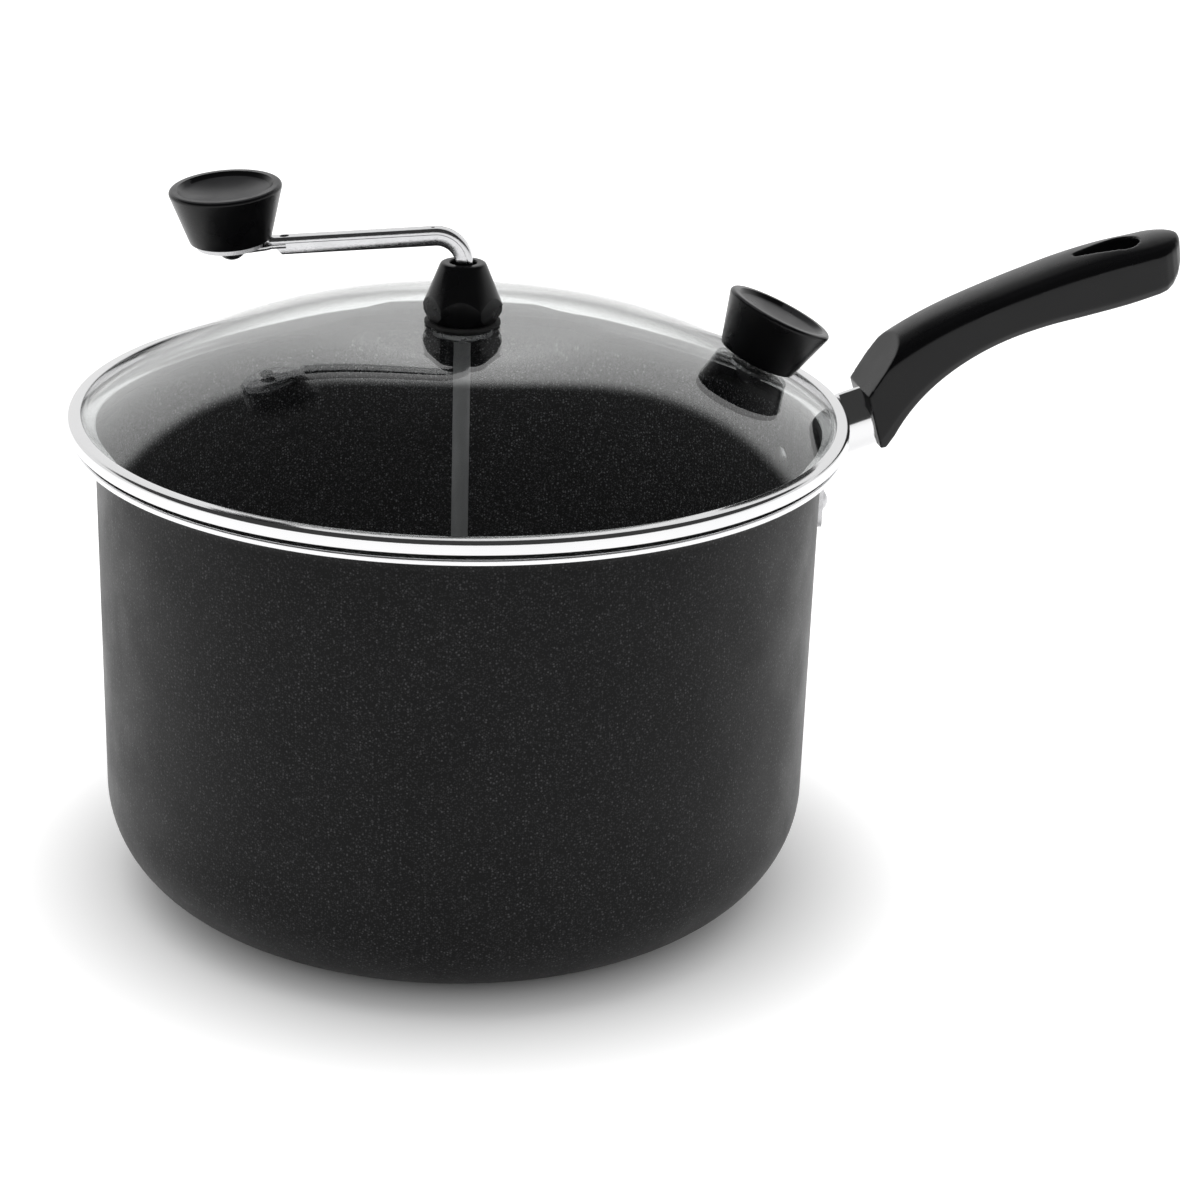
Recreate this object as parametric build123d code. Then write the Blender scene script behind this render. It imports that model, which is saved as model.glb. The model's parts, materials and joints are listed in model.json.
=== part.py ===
from build123d import *
import math
import os

# Stovetop popcorn popper: a straight-sided non-stick pot with a riveted long
# handle, a domed glass lid in a steel rim, and a hand crank through the lid
# that turns two stirring wires just above the pot's floor.
#
# Millimetres. The origin is the centre of the face the pot rests on, +Z is up
# along the pot's axis and the long handle points along +X.

# ---- pot ----
pot_height = 157.0       # resting face to the top of the lip
pot_top_r = 118.0        # outside of the wall, just under the lip
pot_draft = 0.6          # how much narrower the wall is at its bottom corner
pot_low_r = pot_top_r - pot_draft
pot_wall = 2.2
pot_floor = 3.0
corner_r = 35.0          # outside bottom corner
lip_reach = 7.5
lip_r = pot_top_r + lip_reach  # bare outer edge of the turned-out lip
lip_bend_r = 5.3         # outside bend under the lip
lip_edge_round = 0.7
base_ring_count = 4      # turned rings in the resting face
base_ring_first_r = 22.0
base_ring_step = 16.0
base_ring_width = 1.8
base_ring_depth = 0.4

# ---- handle bracket and its rivets ----
bracket_t = 1.5
bracket_high = pot_height - 9.5  # upper edge of the plate, under the lip's bend
bracket_low = bracket_high - 23.0
bracket_gap = 0.05
bracket_corner_r = 5.0
rivet_z = bracket_low + 8.2
rivet_spacing = 39.0
rivet_margin = 8.0       # rivet centre to the plate's side edge
rivet_r = 2.4
rivet_fit = 0.05
rivet_head_r = 3.7
rivet_head_h = 2.0
rivet_inner_head_r = 5.5
rivet_inner_head_h = 1.4
rivet_inner_gap = 0.13   # under the flat head on the hollow side of the wall
rivet_outer_gap = 0.02
stem_w = 10.0
stem_root_up = 5.5       # stem's lower root above the plate's lower edge
stem_belly = 2.2         # stem below the ferrule's inside
stem_root_in = 9.0       # along the ferrule's axis, from its upright end back to the root
stem_tip = 4.0           # and on to where the stem ends in the ferrule
tang_h = 6.0
tang_fit = 0.1
tang_root_in = 9.5       # the bar starts this far back from the ferrule's upright end

# ---- ferrule between the pot and the handle ----
ferrule_pitch = 18.0     # degrees, rise of the ferrule's axis
ferrule_start = lip_r + 1.8      # upright end of the ferrule, clear of the lid's rim
ferrule_axis_z = pot_height - 5.4  # height of the ferrule's axis at that end
ferrule_high = 21.0
ferrule_wide = 17.0
ferrule_wall = 1.2
ferrule_fit = 0.08
ferrule_seat = 4.0       # how far it goes into the handle
ferrule_spare = 8.0      # made longer at the pot's end, then cut upright

# ---- long handle ----
nose_from_start = 10.8   # ferrule's upright end to the handle's front face
nose_slope = 58.5        # degrees, the sloping face above the ferrule
nose_low = ferrule_axis_z - 5.3  # blunt lower end of the nose
nose_block = 40.0        # room that the nose cutter takes in front and below
spine_x = ferrule_start + 8.4    # where the handle's centre line starts, inside the nose
spine_z = ferrule_axis_z + 5.0
spine_length = 110.8     # from there to the tip's last full section
spine_nose_pitch = 56.0
spine_end_pitch = 14.0
spine_ease = 2.35        # how fast the pitch falls along the handle
spine_steps = 240
handle_crown = 3.4       # rise of the top face above its side edges
handle_side_lean = 2.2   # how much narrower the underside is, each side
handle_edge_r = 2.6
grip_w = 27.4            # widest and highest at the palm
grip_h = 18.2
# fraction of the spine, share of the width, share of the height
handle_sections = [
    (0.00, 0.89, 1.363),  # inside the nose
    (0.19, 0.90, 1.115),  # behind the nose
    (0.34, 0.91, 0.989),
    (0.49, 0.927, 0.918),  # waist
    (0.63, 0.956, 0.929),
    (0.76, 0.985, 0.989),  # palm swell
    (0.89, 1.0, 1.0),
    (1.00, 0.971, 0.995),
]
nose_stub = 9.0          # the first section carried on forward, then cut by the nose
tail_length = 11.5       # rounded end beyond the last full section
tail_cuts = 4
tail_sweep = 84.0        # degrees of the round end that the sections cover
tail_lift = 0.2          # share of the height by which the end's middle rises
hang_far_r = 6.1         # wide end of the hanging hole
hang_near_r = 1.6        # narrow end
hang_length = 15.2       # between the two centres
hang_at = 0.93           # fraction of the spine at the wide end's centre
tang_bend_pitch = 48.0   # degrees, the tang inside the handle
tang_straight = 11.0
tang_bend_r = 16.0
tang_tail = 16.0
handle_screw_r = 2.0
handle_screw_head_r = 3.9
handle_screw_head_h = 2.4
handle_screw_fit = 0.06
handle_screw_back = 5.0  # screw centre to the tang's end
handle_screw_reach = 7.2 # tang's centre line to the top of the head
handle_screw_tip = 5.5   # tang's centre line to the screw's end
handle_screw_spare = 0.5 # hole beyond the screw's end
handle_pocket_play = 0.3
cross_length = 4.4       # cross slot of the handle screw and the lid knob's screw
cross_width = 0.9
cross_depth = 1.1

# ---- glass lid ----
glass_t = 4.0
glass_r = lip_r - 0.3
glass_flat_r = 35.0      # flat middle that the hub stands on
glass_edge_up = 2.8      # top of the glass at its edge, above the pot's lip
dome_rise = 31.2         # from that edge to the flat middle
glass_top = pot_height + glass_edge_up + dome_rise
glass_foot_gap = 0.1

# ---- steel rim of the lid ----
rim_t = 0.8
rim_r = lip_r + 1.0
rim_lip_r = rim_r - 4.3  # inner edge of the lip that holds the glass
rim_glass_gap = 0.12
rim_shoulder_play = 0.4  # over the edge of the glass
rim_hem_r = 0.9
rim_seat_r = rim_r - 2.1 # the foot rests on the pot's lip inside this radius
rim_edge_gap = 0.5       # shadow gap between the rim's edge and the pot's lip
rim_curl_r = pot_top_r - 1.0     # outside of the locating curl inside the pot's mouth
rim_curl_depth = 2.8

# ---- hub on the lid, its bushing and seals ----
hub_base_r = 10.9
hub_wide_r = 13.2
hub_wide_up = 4.5
hub_top_r = 7.2
hub_height = 19.2
hub_flat_r = 13.4        # corners of its six flats at the foot
hub_flat_draft = 6.0     # degrees, how far the flats lean in
hub_turn = -12.0         # degrees about Z
hub_mouth_r = 4.35
hub_mouth_depth = 5.3
hub_edge_round = 1.0
seal_t = 0.8
hub_seal_r = 12.3
seal_inset = 0.6         # lower seal inside the bushing's flange
bushing_r = 5.0
bushing_chamfer = 0.5
bushing_flange_r = 10.0
bushing_flange_t = 2.0
screw_fit = 0.05         # play between a thread and what it is screwed into
glass_hole_play = 0.3
press_fit = 0.02         # radial room of what is pressed or moulded in
running_fit = 0.05       # radial play of what turns

# ---- crank rod ----
rod_r = 2.75
arm_z = glass_top + 28.8 # where the arm's axis meets the shaft's axis
arm_droop = 4.8          # degrees below level
arm_bend_r = 8.5
arm_tube_length = 62.5   # shaft axis to the cut end of the rod
arm_cut = 4.0            # how much shorter the rod is below than above
crank_throw = arm_tube_length + 11.5  # shaft axis to the knob's pivot, along the arm
crank_turn = 170.0       # degrees about Z at rest
seam_width = 0.5
seam_depth = 0.7
tab_t = 1.4
tab_top = 1.2            # tab's upper face from the rod's axis
tab_lean = -4.0          # degrees, the tab and its knob turned about the arm
tab_w = 7.6
tab_end_r = 6.6
arm_hole_r = 1.9
arm_hole_at = arm_tube_length - 5.5
arm_hole_depth = 2.4
arm_dimple_r = 0.7
arm_dimple_at = 9.0
arm_dimple_depth = 0.8
collar_r = 4.0
collar_h = 2.6
stack_gap = 0.1          # play along the shaft between stacked pieces
thrust_washer_r = 6.2
thrust_washer_t = 0.7
clip_t = 0.8
clip_r = 5.0
clip_groove_r = 2.15
clip_mouth = 3.4
clip_ear_at = 3.1        # pliers' notches
clip_ear_r = 0.9
clip_ear_turn = 70.0     # degrees from the clip's back
clip_fit = 0.05

# ---- stirrer ----
wire_r = 1.5
wire_fit = 0.04
wire_clear = 2.5         # wire to the pot's floor and corner
wire_step = 4.2          # upper wire above the lower one
wire_sweep = 64.0        # degrees of the corner that the wire's end follows
stirrer_r = 7.0
stirrer_foot = 2.0       # hub's lower face under the lower wire
stirrer_top = 27.0
stirrer_chamfer = 0.8
stirrer_fit = 0.03
rod_bottom = 14.0
grub_r = 2.0
grub_z = 21.0
grub_inset = 0.4         # outer end inside the hub's wall
grub_socket_r = 1.1
grub_socket_depth = 1.6

# ---- the two knobs ----
knob_top_r = 18.3
knob_base_r = 12.9
knob_height = 17.8
knob_rim = 3.0           # flat rim around the finger dish
knob_dish_depth = 3.4
knob_dish_wall = 1.3
knob_edge_r = 1.1
insert_r = 4.0
insert_length = 10.5
knob_thread_r = 2.0
knob_head_r = 4.8
knob_head_h = 3.4
thread_short = 1.0       # thread's end inside the insert
pivot_r = 2.5            # plain shoulder that turns in the crank's tab
pivot_short = 0.05       # shoulder's end below the knob's foot
knob_washer_r = 11.0
knob_washer_t = 1.7
lid_knob_at = lip_r - 29.5       # radius of the lid knob's seat on the dome
lid_knob_turn = -5.0     # degrees about Z
lid_knob_seal_r = 8.2
lid_knob_seal_t = 1.0
lid_knob_washer_r = 7.0
lid_knob_washer_t = 0.9
lid_knob_washer_play = 0.2
lid_knob_hole_play = 1.2
lid_knob_over = 0.02     # flat seal above the curved glass
lid_knob_under = 0.18    # flat seal under the hollow face of the glass
lid_knob_thread_length = 12.0


# ---------------------------------------------------------------- helpers

def turned(*edges):
    """A solid of revolution about Z from a closed outline of (radius, height)."""
    return revolve(Plane.XZ * make_face(edges), Axis.Z)


def outline(*points):
    """Straight closed outline."""
    return Polyline(*points, close=True)


def disc(radius, low, high):
    """A plain disc or pin about Z between two heights."""
    return Pos(0, 0, low) * extrude(Circle(radius), high - low)


def washer(outer, inner, low, high):
    return disc(outer, low, high) - disc(inner, low, high)


def dome_head(radius, height):
    """A domed head that stands on Z = 0."""
    ball_r = (radius**2 + height**2) / (2 * height)
    side = ThreePointArc(
        (radius, 0),
        (ball_r * math.sin(math.atan2(radius, ball_r - height) / 2),
         height - ball_r + ball_r * math.cos(math.atan2(radius, ball_r - height) / 2)),
        (0, height),
    )
    return turned(side, Line((0, height), (0, 0)), Line((0, 0), (radius, 0)))


def along(length, pitch):
    """Step along a direction in the XZ plane that rises by pitch degrees."""
    rise = math.radians(pitch)
    return Vector(length * math.cos(rise), 0, length * math.sin(rise))


# ---------------------------------------------------------------- pot

bend_z = pot_height - pot_wall - lip_bend_r
inner_corner_r = corner_r - pot_wall
corner_centre = (pot_low_r - corner_r, pot_floor + inner_corner_r)


def wall_r(z):
    """Outside radius of the slightly drafted wall at a height."""
    share = (z - corner_r) / (bend_z - corner_r)
    return pot_low_r + share * (pot_top_r - pot_low_r)


def pot_body():
    flat_r = pot_low_r - corner_r
    bend_x = pot_top_r + lip_bend_r
    lip_low = bend_z + lip_bend_r
    section = make_face([
        Line((0, 0), (flat_r, 0)),
        CenterArc((flat_r, corner_r), corner_r, -90, 90),
        Line((pot_low_r, corner_r), (pot_top_r, bend_z)),
        CenterArc((bend_x, bend_z), lip_bend_r, 180, -90),
        Line((bend_x, lip_low), (lip_r, lip_low)),
        Line((lip_r, lip_low), (lip_r, pot_height)),
        Line((lip_r, pot_height), (bend_x, pot_height)),
        CenterArc((bend_x, bend_z), lip_bend_r + pot_wall, 90, 90),
        Line((pot_top_r - pot_wall, bend_z), (pot_low_r - pot_wall, corner_centre[1])),
        CenterArc(corner_centre, inner_corner_r, 0, -90),
        Line((corner_centre[0], pot_floor), (0, pot_floor)),
        Line((0, pot_floor), (0, 0)),
    ])
    section = fillet(section.vertices().group_by(Axis.X)[-1], lip_edge_round)
    pot = revolve(Plane.XZ * section, Axis.Z)
    for ring in range(base_ring_count):
        middle = base_ring_first_r + ring * base_ring_step
        half = base_ring_width / 2
        pot -= washer(middle + half, middle - half, 0, base_ring_depth)
    for place in rivet_places():
        pot -= place * disc(rivet_r + rivet_fit, -2 * pot_wall, 2 * pot_wall)
    return pot


# ---------------------------------------------------------------- bracket, rivets, ferrule

plate_r = wall_r(rivet_z) + bracket_gap
plate_half_angle = math.degrees((rivet_spacing / 2 + rivet_margin) / plate_r)


def rivet_places():
    """Frames at the wall's outside face, with Z pointing out of the pot."""
    turn = math.degrees(math.asin(rivet_spacing / 2 / plate_r))
    return [Rot(0, 0, side * turn) * Pos(plate_r, 0, rivet_z) * Rot(0, 90, 0) for side in (-1, 1)]


def ferrule_point(distance, up=0.0):
    """A point on the ferrule's axis, or off it by up, from its upright end."""
    start = Vector(ferrule_start, 0, ferrule_axis_z)
    return start + along(distance, ferrule_pitch) + along(up, ferrule_pitch + 90)


def tang_path():
    """Centre line of the tang: straight in the ferrule, then bent up the handle."""
    start = ferrule_point(-tang_root_in)
    corner = ferrule_point(tang_straight)
    end = corner + along(tang_tail, tang_bend_pitch)
    return FilletPolyline(start, corner, end, radius=tang_bend_r)


def tang_end():
    return ferrule_point(tang_straight) + along(tang_tail, tang_bend_pitch)


def tang_bar(grow):
    """The tang as a flat bar, larger by grow all round for its socket."""
    path = tang_path()
    section = Plane(path @ 0, x_dir=(0, 1, 0), z_dir=path % 0) * Rectangle(
        stem_w + 2 * grow, tang_h + 2 * grow
    )
    bar = sweep(section, path)
    if grow:
        tip = Plane(path @ 1, x_dir=(0, 1, 0), z_dir=path % 1)
        bar += extrude(tip * Rectangle(stem_w + 2 * grow, tang_h + 2 * grow), grow)
    return bar


def handle_bracket():
    low_r = wall_r(bracket_low) + bracket_gap
    high_r = wall_r(bracket_high) + bracket_gap
    section = outline(
        (low_r, bracket_low),
        (low_r + bracket_t, bracket_low),
        (high_r + bracket_t, bracket_high),
        (high_r, bracket_high),
    )
    plate = revolve(Plane.XZ * make_face(section), Axis.Z, 2 * plate_half_angle)
    plate = Rot(0, 0, -plate_half_angle) * plate
    corners = plate.edges().filter_by(lambda edge: abs(edge.length - bracket_t) < 0.01)
    plate = fillet(corners, bracket_corner_r)
    for place in rivet_places():
        plate -= place * disc(rivet_r + rivet_fit, -bracket_t, 2 * bracket_t)
    web_root = plate_r + bracket_t / 2
    web_tip = ferrule_point(stem_tip, -tang_h / 2)
    web = make_face(Plane.XZ * outline(
        (web_root, bracket_low + stem_root_up),
        (ferrule_start, ferrule_axis_z - ferrule_high / 2 + ferrule_wall + stem_belly),
        (web_tip.X, web_tip.Z),
        (web_root, ferrule_point(-stem_root_in).Z),
    ))
    stem = extrude(web, stem_w / 2, both=True)
    bar = tang_bar(0) - disc(web_root, bracket_low, pot_height)
    bracket = plate + stem + bar
    return bracket - handle_screw_frame() * disc(handle_screw_r, -2 * tang_h, 2 * tang_h)


def bracket_rivets():
    """Two domed rivets through the wall and the plate, one solid each."""
    inner_face = -pot_wall - bracket_gap - rivet_inner_gap
    outer_face = bracket_t + rivet_outer_gap
    rivet = disc(rivet_r, inner_face, outer_face)
    rivet += Pos(0, 0, outer_face) * dome_head(rivet_head_r, rivet_head_h)
    inner = Pos(0, 0, inner_face) * Rot(180, 0, 0) * dome_head(rivet_inner_head_r, rivet_inner_head_h)
    rivet += inner
    return Compound(children=[place * rivet for place in rivet_places()])


def ferrule_section(grow):
    frame = Plane(ferrule_point(-ferrule_spare), x_dir=(0, 1, 0), z_dir=along(1, ferrule_pitch))
    return frame * Ellipse(ferrule_wide / 2 + grow, ferrule_high / 2 + grow)


def handle_ferrule():
    length = ferrule_spare + nose_from_start + ferrule_seat
    sleeve = extrude(ferrule_section(0), length) - extrude(ferrule_section(-ferrule_wall), length)
    block = 4 * ferrule_high
    behind = Pos(ferrule_start - block / 2, 0, ferrule_axis_z) * Box(block, block, block)
    return sleeve - behind


# ---------------------------------------------------------------- long handle

def spine(fraction):
    """Point and pitch of the handle's centre line at a fraction of its length."""
    x, z, pitch = spine_x, spine_z, spine_nose_pitch
    step = spine_length / spine_steps
    for count in range(round(fraction * spine_steps)):
        share = (count + 0.5) / spine_steps
        pitch = spine_end_pitch + (spine_nose_pitch - spine_end_pitch) * (1 - share) ** spine_ease
        x += step * math.cos(math.radians(pitch))
        z += step * math.sin(math.radians(pitch))
    return Vector(x, 0, z), pitch


def handle_size(row):
    """Width and height of the handle in a row of its sections."""
    return grip_w * row[1], grip_h * row[2]


def handle_section(point, pitch, width, height, edge_r):
    """Crowned top, sides that lean in and a flat underside, all edges rounded."""
    half = width / 2
    crown = handle_crown * width / grip_w
    lean = handle_side_lean * width / grip_w
    top = height / 2
    face = make_face([
        ThreePointArc((half, top - crown), (0, top), (-half, top - crown)),
        Line((-half, top - crown), (-half + lean, -top)),
        Line((-half + lean, -top), (half - lean, -top)),
        Line((half - lean, -top), (half, top - crown)),
    ])
    face = fillet(face.vertices(), edge_r)
    return Plane(point, x_dir=(0, 1, 0), z_dir=along(1, pitch)) * face


def tail_sections():
    """The last sections shrink to a rounded end whose top stays in line."""
    point, pitch = spine(1)
    width, height = handle_size(handle_sections[-1])
    sections = []
    for cut in range(1, tail_cuts + 1):
        angle = math.radians(tail_sweep * cut / tail_cuts)
        size = math.cos(angle)
        rise = (1 - size) * height * tail_lift
        place = point + along(tail_length * math.sin(angle), pitch) + along(rise, pitch + 90)
        sections.append(handle_section(place, pitch, width * size, height * size, handle_edge_r * size))
    return sections


def nose_cutter():
    """Everything in front of the handle's two front faces and below its blunt end."""
    corner = ferrule_point(nose_from_start, ferrule_high / 2)
    high = corner + along(ferrule_high * 2, nose_slope)
    down = (corner.Z - nose_low) / math.cos(math.radians(ferrule_pitch))
    low = corner + along(-down, ferrule_pitch + 90)
    back, under = ferrule_start - nose_block, nose_low - nose_block
    front = outline(
        (low.X + nose_block / 2, nose_low), (low.X, nose_low), (corner.X, corner.Z), (high.X, high.Z),
        (back, high.Z), (back, under), (low.X + nose_block / 2, under),
    )
    return extrude(make_face(Plane.XZ * front), grip_w, both=True)


def hang_hole():
    point, pitch = spine(hang_at)
    frame = Plane(point, x_dir=along(1, pitch), z_dir=along(1, pitch + 90))
    drop = make_hull((Circle(hang_far_r) + Pos(-hang_length, 0) * Circle(hang_near_r)).edges())
    return extrude(frame * drop, grip_h, both=True)


def handle_screw_frame():
    """Screw from below, square to the tang; Z points down out of the handle."""
    centre = tang_end() - along(handle_screw_back, tang_bend_pitch)
    return Location(Plane(centre, x_dir=(0, 1, 0), z_dir=along(-1, tang_bend_pitch + 90)))


def long_handle():
    point, pitch = spine(0)
    stub = point - along(nose_stub, pitch)
    sections = [handle_section(stub, pitch, *handle_size(handle_sections[0]), handle_edge_r)]
    for row in handle_sections:
        point, pitch = spine(row[0])
        sections.append(handle_section(point, pitch, *handle_size(row), handle_edge_r))
    handle = loft(sections) + loft(sections[-1:] + tail_sections())
    handle -= nose_cutter()
    handle -= hang_hole()
    ferrule_length = ferrule_spare + nose_from_start + ferrule_seat
    handle -= extrude(ferrule_section(ferrule_fit), ferrule_length + ferrule_fit)
    handle -= tang_bar(tang_fit)
    hole = disc(handle_screw_r + handle_screw_fit, -handle_screw_tip - handle_screw_spare, 2 * grip_h)
    seat = handle_screw_reach - handle_screw_head_h
    pocket = disc(handle_screw_head_r + handle_pocket_play, seat, 2 * grip_h)
    return handle - handle_screw_frame() * (hole + pocket)


def cross_slot():
    """Cross cut into the top of a screw head, whose top is at Z = 0."""
    cut = Box(cross_length, cross_width, 2 * cross_depth)
    return cut + Rot(0, 0, 90) * cut


def handle_screw():
    seat = handle_screw_reach - handle_screw_head_h
    shank = disc(handle_screw_r - handle_screw_fit, -handle_screw_tip, seat)
    head = Pos(0, 0, seat) * dome_head(handle_screw_head_r, handle_screw_head_h)
    return handle_screw_frame() * (shank + head - Pos(0, 0, seat + handle_screw_head_h) * cross_slot())


# ---------------------------------------------------------------- glass lid and rim

dome_r = ((glass_r - glass_flat_r) ** 2 + dome_rise**2) / (2 * dome_rise)
dome_centre_z = glass_top - dome_r
hub_hole_r = bushing_r + glass_hole_play


def dome_z(radius, sphere_r):
    """Height of the glass face with that curve at a radius outside the flat seat."""
    return dome_centre_z + math.sqrt(sphere_r**2 - (radius - glass_flat_r) ** 2)


def dome_arc(sphere_r, outer):
    """Curve of one glass face from the flat seat out to a radius."""
    middle = (glass_flat_r + outer) / 2
    return ThreePointArc(
        (glass_flat_r, dome_centre_z + sphere_r),
        (middle, dome_z(middle, sphere_r)),
        (outer, dome_z(outer, sphere_r)),
    )


def glass_lid():
    foot = pot_height + rim_t + rim_edge_gap / 2 + glass_foot_gap
    inside_r = dome_r - glass_t
    reach = glass_flat_r + math.sqrt(inside_r**2 - (foot - dome_centre_z) ** 2)
    under = glass_top - glass_t
    glass = turned(
        Line((hub_hole_r, glass_top), (glass_flat_r, glass_top)),
        dome_arc(dome_r, glass_r),
        Line((glass_r, dome_z(glass_r, dome_r)), (glass_r, foot)),
        Line((glass_r, foot), (reach, foot)),
        dome_arc(inside_r, reach),
        Line((glass_flat_r, under), (hub_hole_r, under)),
        Line((hub_hole_r, under), (hub_hole_r, glass_top)),
    )
    return glass - lid_knob_frame() * disc(knob_thread_r + lid_knob_hole_play, -3 * glass_t, glass_t)


def lid_rim():
    """Rolled band: hem, outer band, lip over the glass, flange and inner curl."""
    low = pot_height
    inside = rim_r - rim_t
    edge_low = low + rim_edge_gap
    shelf = low + rim_t + rim_edge_gap / 2
    lip_under = dome_z(rim_lip_r, dome_r) + rim_glass_gap
    shoulder = dome_z(inside - rim_hem_r, dome_r) + rim_glass_gap + rim_shoulder_play
    curl_low = low - rim_curl_depth
    curl_in = rim_curl_r - rim_t
    section = make_face(outline(
        (curl_in, curl_low),
        (rim_curl_r, curl_low),
        (rim_curl_r, low),
        (rim_seat_r, low),
        (rim_seat_r + rim_edge_gap, edge_low),
        (rim_r, edge_low),
        (rim_r, shoulder + rim_t),
        (rim_lip_r, lip_under + rim_t),
        (rim_lip_r, lip_under),
        (inside, shoulder),
        (inside, shelf),
        (curl_in, shelf),
    ))
    outer_low = section.vertices().sort_by_distance((rim_r, edge_low))[0]
    outer_high = section.vertices().sort_by_distance((rim_r, shoulder + rim_t))[0]
    curl_corner = section.vertices().sort_by_distance((curl_in, shelf))[0]
    section = fillet([outer_low, outer_high, curl_corner], rim_hem_r)
    return revolve(Plane.XZ * section, Axis.Z)


# ---------------------------------------------------------------- hub, bushing and seals

hub_low = glass_top + seal_t
hub_top = hub_low + hub_height
mouth_floor = hub_top - hub_mouth_depth
bushing_top = mouth_floor - stack_gap
under_glass = glass_top - glass_t
flange_low = under_glass - seal_t - bushing_flange_t


def hub_nut():
    """Cone that screws down on the bushing, with six drafted flats round its foot."""
    wide_z = hub_low + hub_wide_up
    section = make_face(outline(
        (0, hub_low), (hub_base_r, hub_low), (hub_wide_r, wide_z), (hub_top_r, hub_top), (0, hub_top),
    ))
    rims = section.vertices().filter_by(lambda corner: corner.X > 1)
    section = fillet(rims, hub_edge_round)
    hub = revolve(Plane.XZ * section, Axis.Z)
    flats = extrude(RegularPolygon(hub_flat_r, 6), hub_height, taper=hub_flat_draft)
    hub &= Pos(0, 0, hub_low) * Rot(0, 0, hub_turn) * flats
    hub -= disc(hub_mouth_r, mouth_floor, hub_top)
    return hub - disc(bushing_r + screw_fit, hub_low, mouth_floor)


def hub_bushing():
    sleeve = disc(bushing_r, flange_low, bushing_top)
    flange = disc(bushing_flange_r, flange_low, flange_low + bushing_flange_t)
    flange = chamfer(flange.edges().group_by(Axis.Z)[0], bushing_chamfer)
    return sleeve + flange - disc(rod_r + running_fit, flange_low, bushing_top)


def hub_seal_upper():
    return washer(hub_seal_r, bushing_r + screw_fit, glass_top, hub_low)


def hub_seal_lower():
    return washer(bushing_flange_r - seal_inset, bushing_r + screw_fit, under_glass - seal_t, under_glass)


# ---------------------------------------------------------------- crank rod and its retainers

crank_frame = Rot(0, 0, crank_turn)
arm_frame = Pos(0, 0, arm_z) * Rot(0, arm_droop, 0)
tab_frame = arm_frame * Rot(tab_lean, 0, 0)
bend_reach = arm_bend_r * math.tan(math.radians((90 + arm_droop) / 2))


def rod_section():
    """Round rod with the seam where its folded edges meet, on its +Y side."""
    seam = Pos(0, rod_r) * Rectangle(seam_width, 2 * seam_depth)
    return Circle(rod_r) - seam


def crank_rod():
    """Shaft, bend and arm, then the flat tab that carries the knob."""
    shaft_top = arm_z - bend_reach
    seam_from = bushing_top + stack_gap + collar_h
    rod = disc(rod_r, rod_bottom, seam_from)
    rod += Pos(0, 0, seam_from) * extrude(rod_section(), shaft_top - seam_from)
    bend_axis = Axis((arm_bend_r, 0, shaft_top), (0, 1, 0))
    rod += revolve(Pos(0, 0, shaft_top) * rod_section(), bend_axis, 90 + arm_droop)
    arm_start = arm_frame * Pos(bend_reach, 0, 0) * Rot(0, 90, 0)
    rod += arm_start * extrude(rod_section(), arm_tube_length - bend_reach)
    rod -= arm_frame * arm_cuts()
    rod += tab_frame * tab()
    groove_low = clip_low() - clip_fit
    groove = washer(2 * rod_r, clip_groove_r - clip_fit, groove_low, groove_low + clip_t + 2 * clip_fit)
    return crank_frame * (rod - groove)


def arm_cuts():
    """Slanted end, drain hole and dimple; X runs along the arm."""
    reach = 2 * rod_r
    end = make_face(Plane.XZ * outline(
        (arm_tube_length, rod_r),
        (arm_tube_length - arm_cut, -rod_r),
        (arm_tube_length - arm_cut, -reach),
        (arm_tube_length + reach, -reach),
        (arm_tube_length + reach, rod_r),
    ))
    cuts = extrude(end, reach, both=True)
    cuts += Pos(arm_hole_at, 0, 0) * disc(arm_hole_r, rod_r - arm_hole_depth, reach)
    cuts += Pos(arm_dimple_at, 0, 0) * disc(arm_dimple_r, rod_r - arm_dimple_depth, reach)
    return cuts


def tab():
    """Flattened end of the rod with a round eye for the knob's pivot."""
    root = arm_tube_length - arm_cut
    neck = Pos(root, 0) * Rectangle(2 * tab_t, 2 * rod_r - tab_t)
    eye = Pos(crank_throw, 0) * Circle(tab_end_r)
    strap = make_hull(((Pos(root + 2 * tab_t, 0) * Circle(tab_w / 2)) + eye).edges())
    hole = Pos(crank_throw, 0) * Circle(pivot_r + running_fit)
    return Pos(0, 0, tab_top - tab_t) * extrude(neck + strap - hole, tab_t)


def stop_collar():
    """Carries the crank's weight on top of the bushing, inside the hub's mouth."""
    low = bushing_top + stack_gap
    return washer(collar_r, rod_r + press_fit, low, low + collar_h)


def clip_low():
    return flange_low - 2 * stack_gap - thrust_washer_t - clip_t


def thrust_washer():
    low = flange_low - stack_gap - thrust_washer_t
    return washer(thrust_washer_r, rod_r + running_fit, low, low + thrust_washer_t)


def retaining_clip():
    """Spring clip in the shaft's groove, open on one side."""
    low = clip_low()
    clip = washer(clip_r, clip_groove_r, low, low + clip_t)
    for turn in (-clip_ear_turn, clip_ear_turn):
        clip -= Rot(0, 0, turn) * Pos(clip_ear_at, 0, low) * disc(clip_ear_r, 0, clip_t)
    mouth = Pos(-clip_r / 2, 0, low + clip_t / 2) * Box(clip_r, clip_mouth, 2 * clip_t)
    return crank_frame * (clip - mouth)


# ---------------------------------------------------------------- stirrer

def wire_z(step):
    return pot_floor + wire_clear + wire_r + step * wire_step


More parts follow.
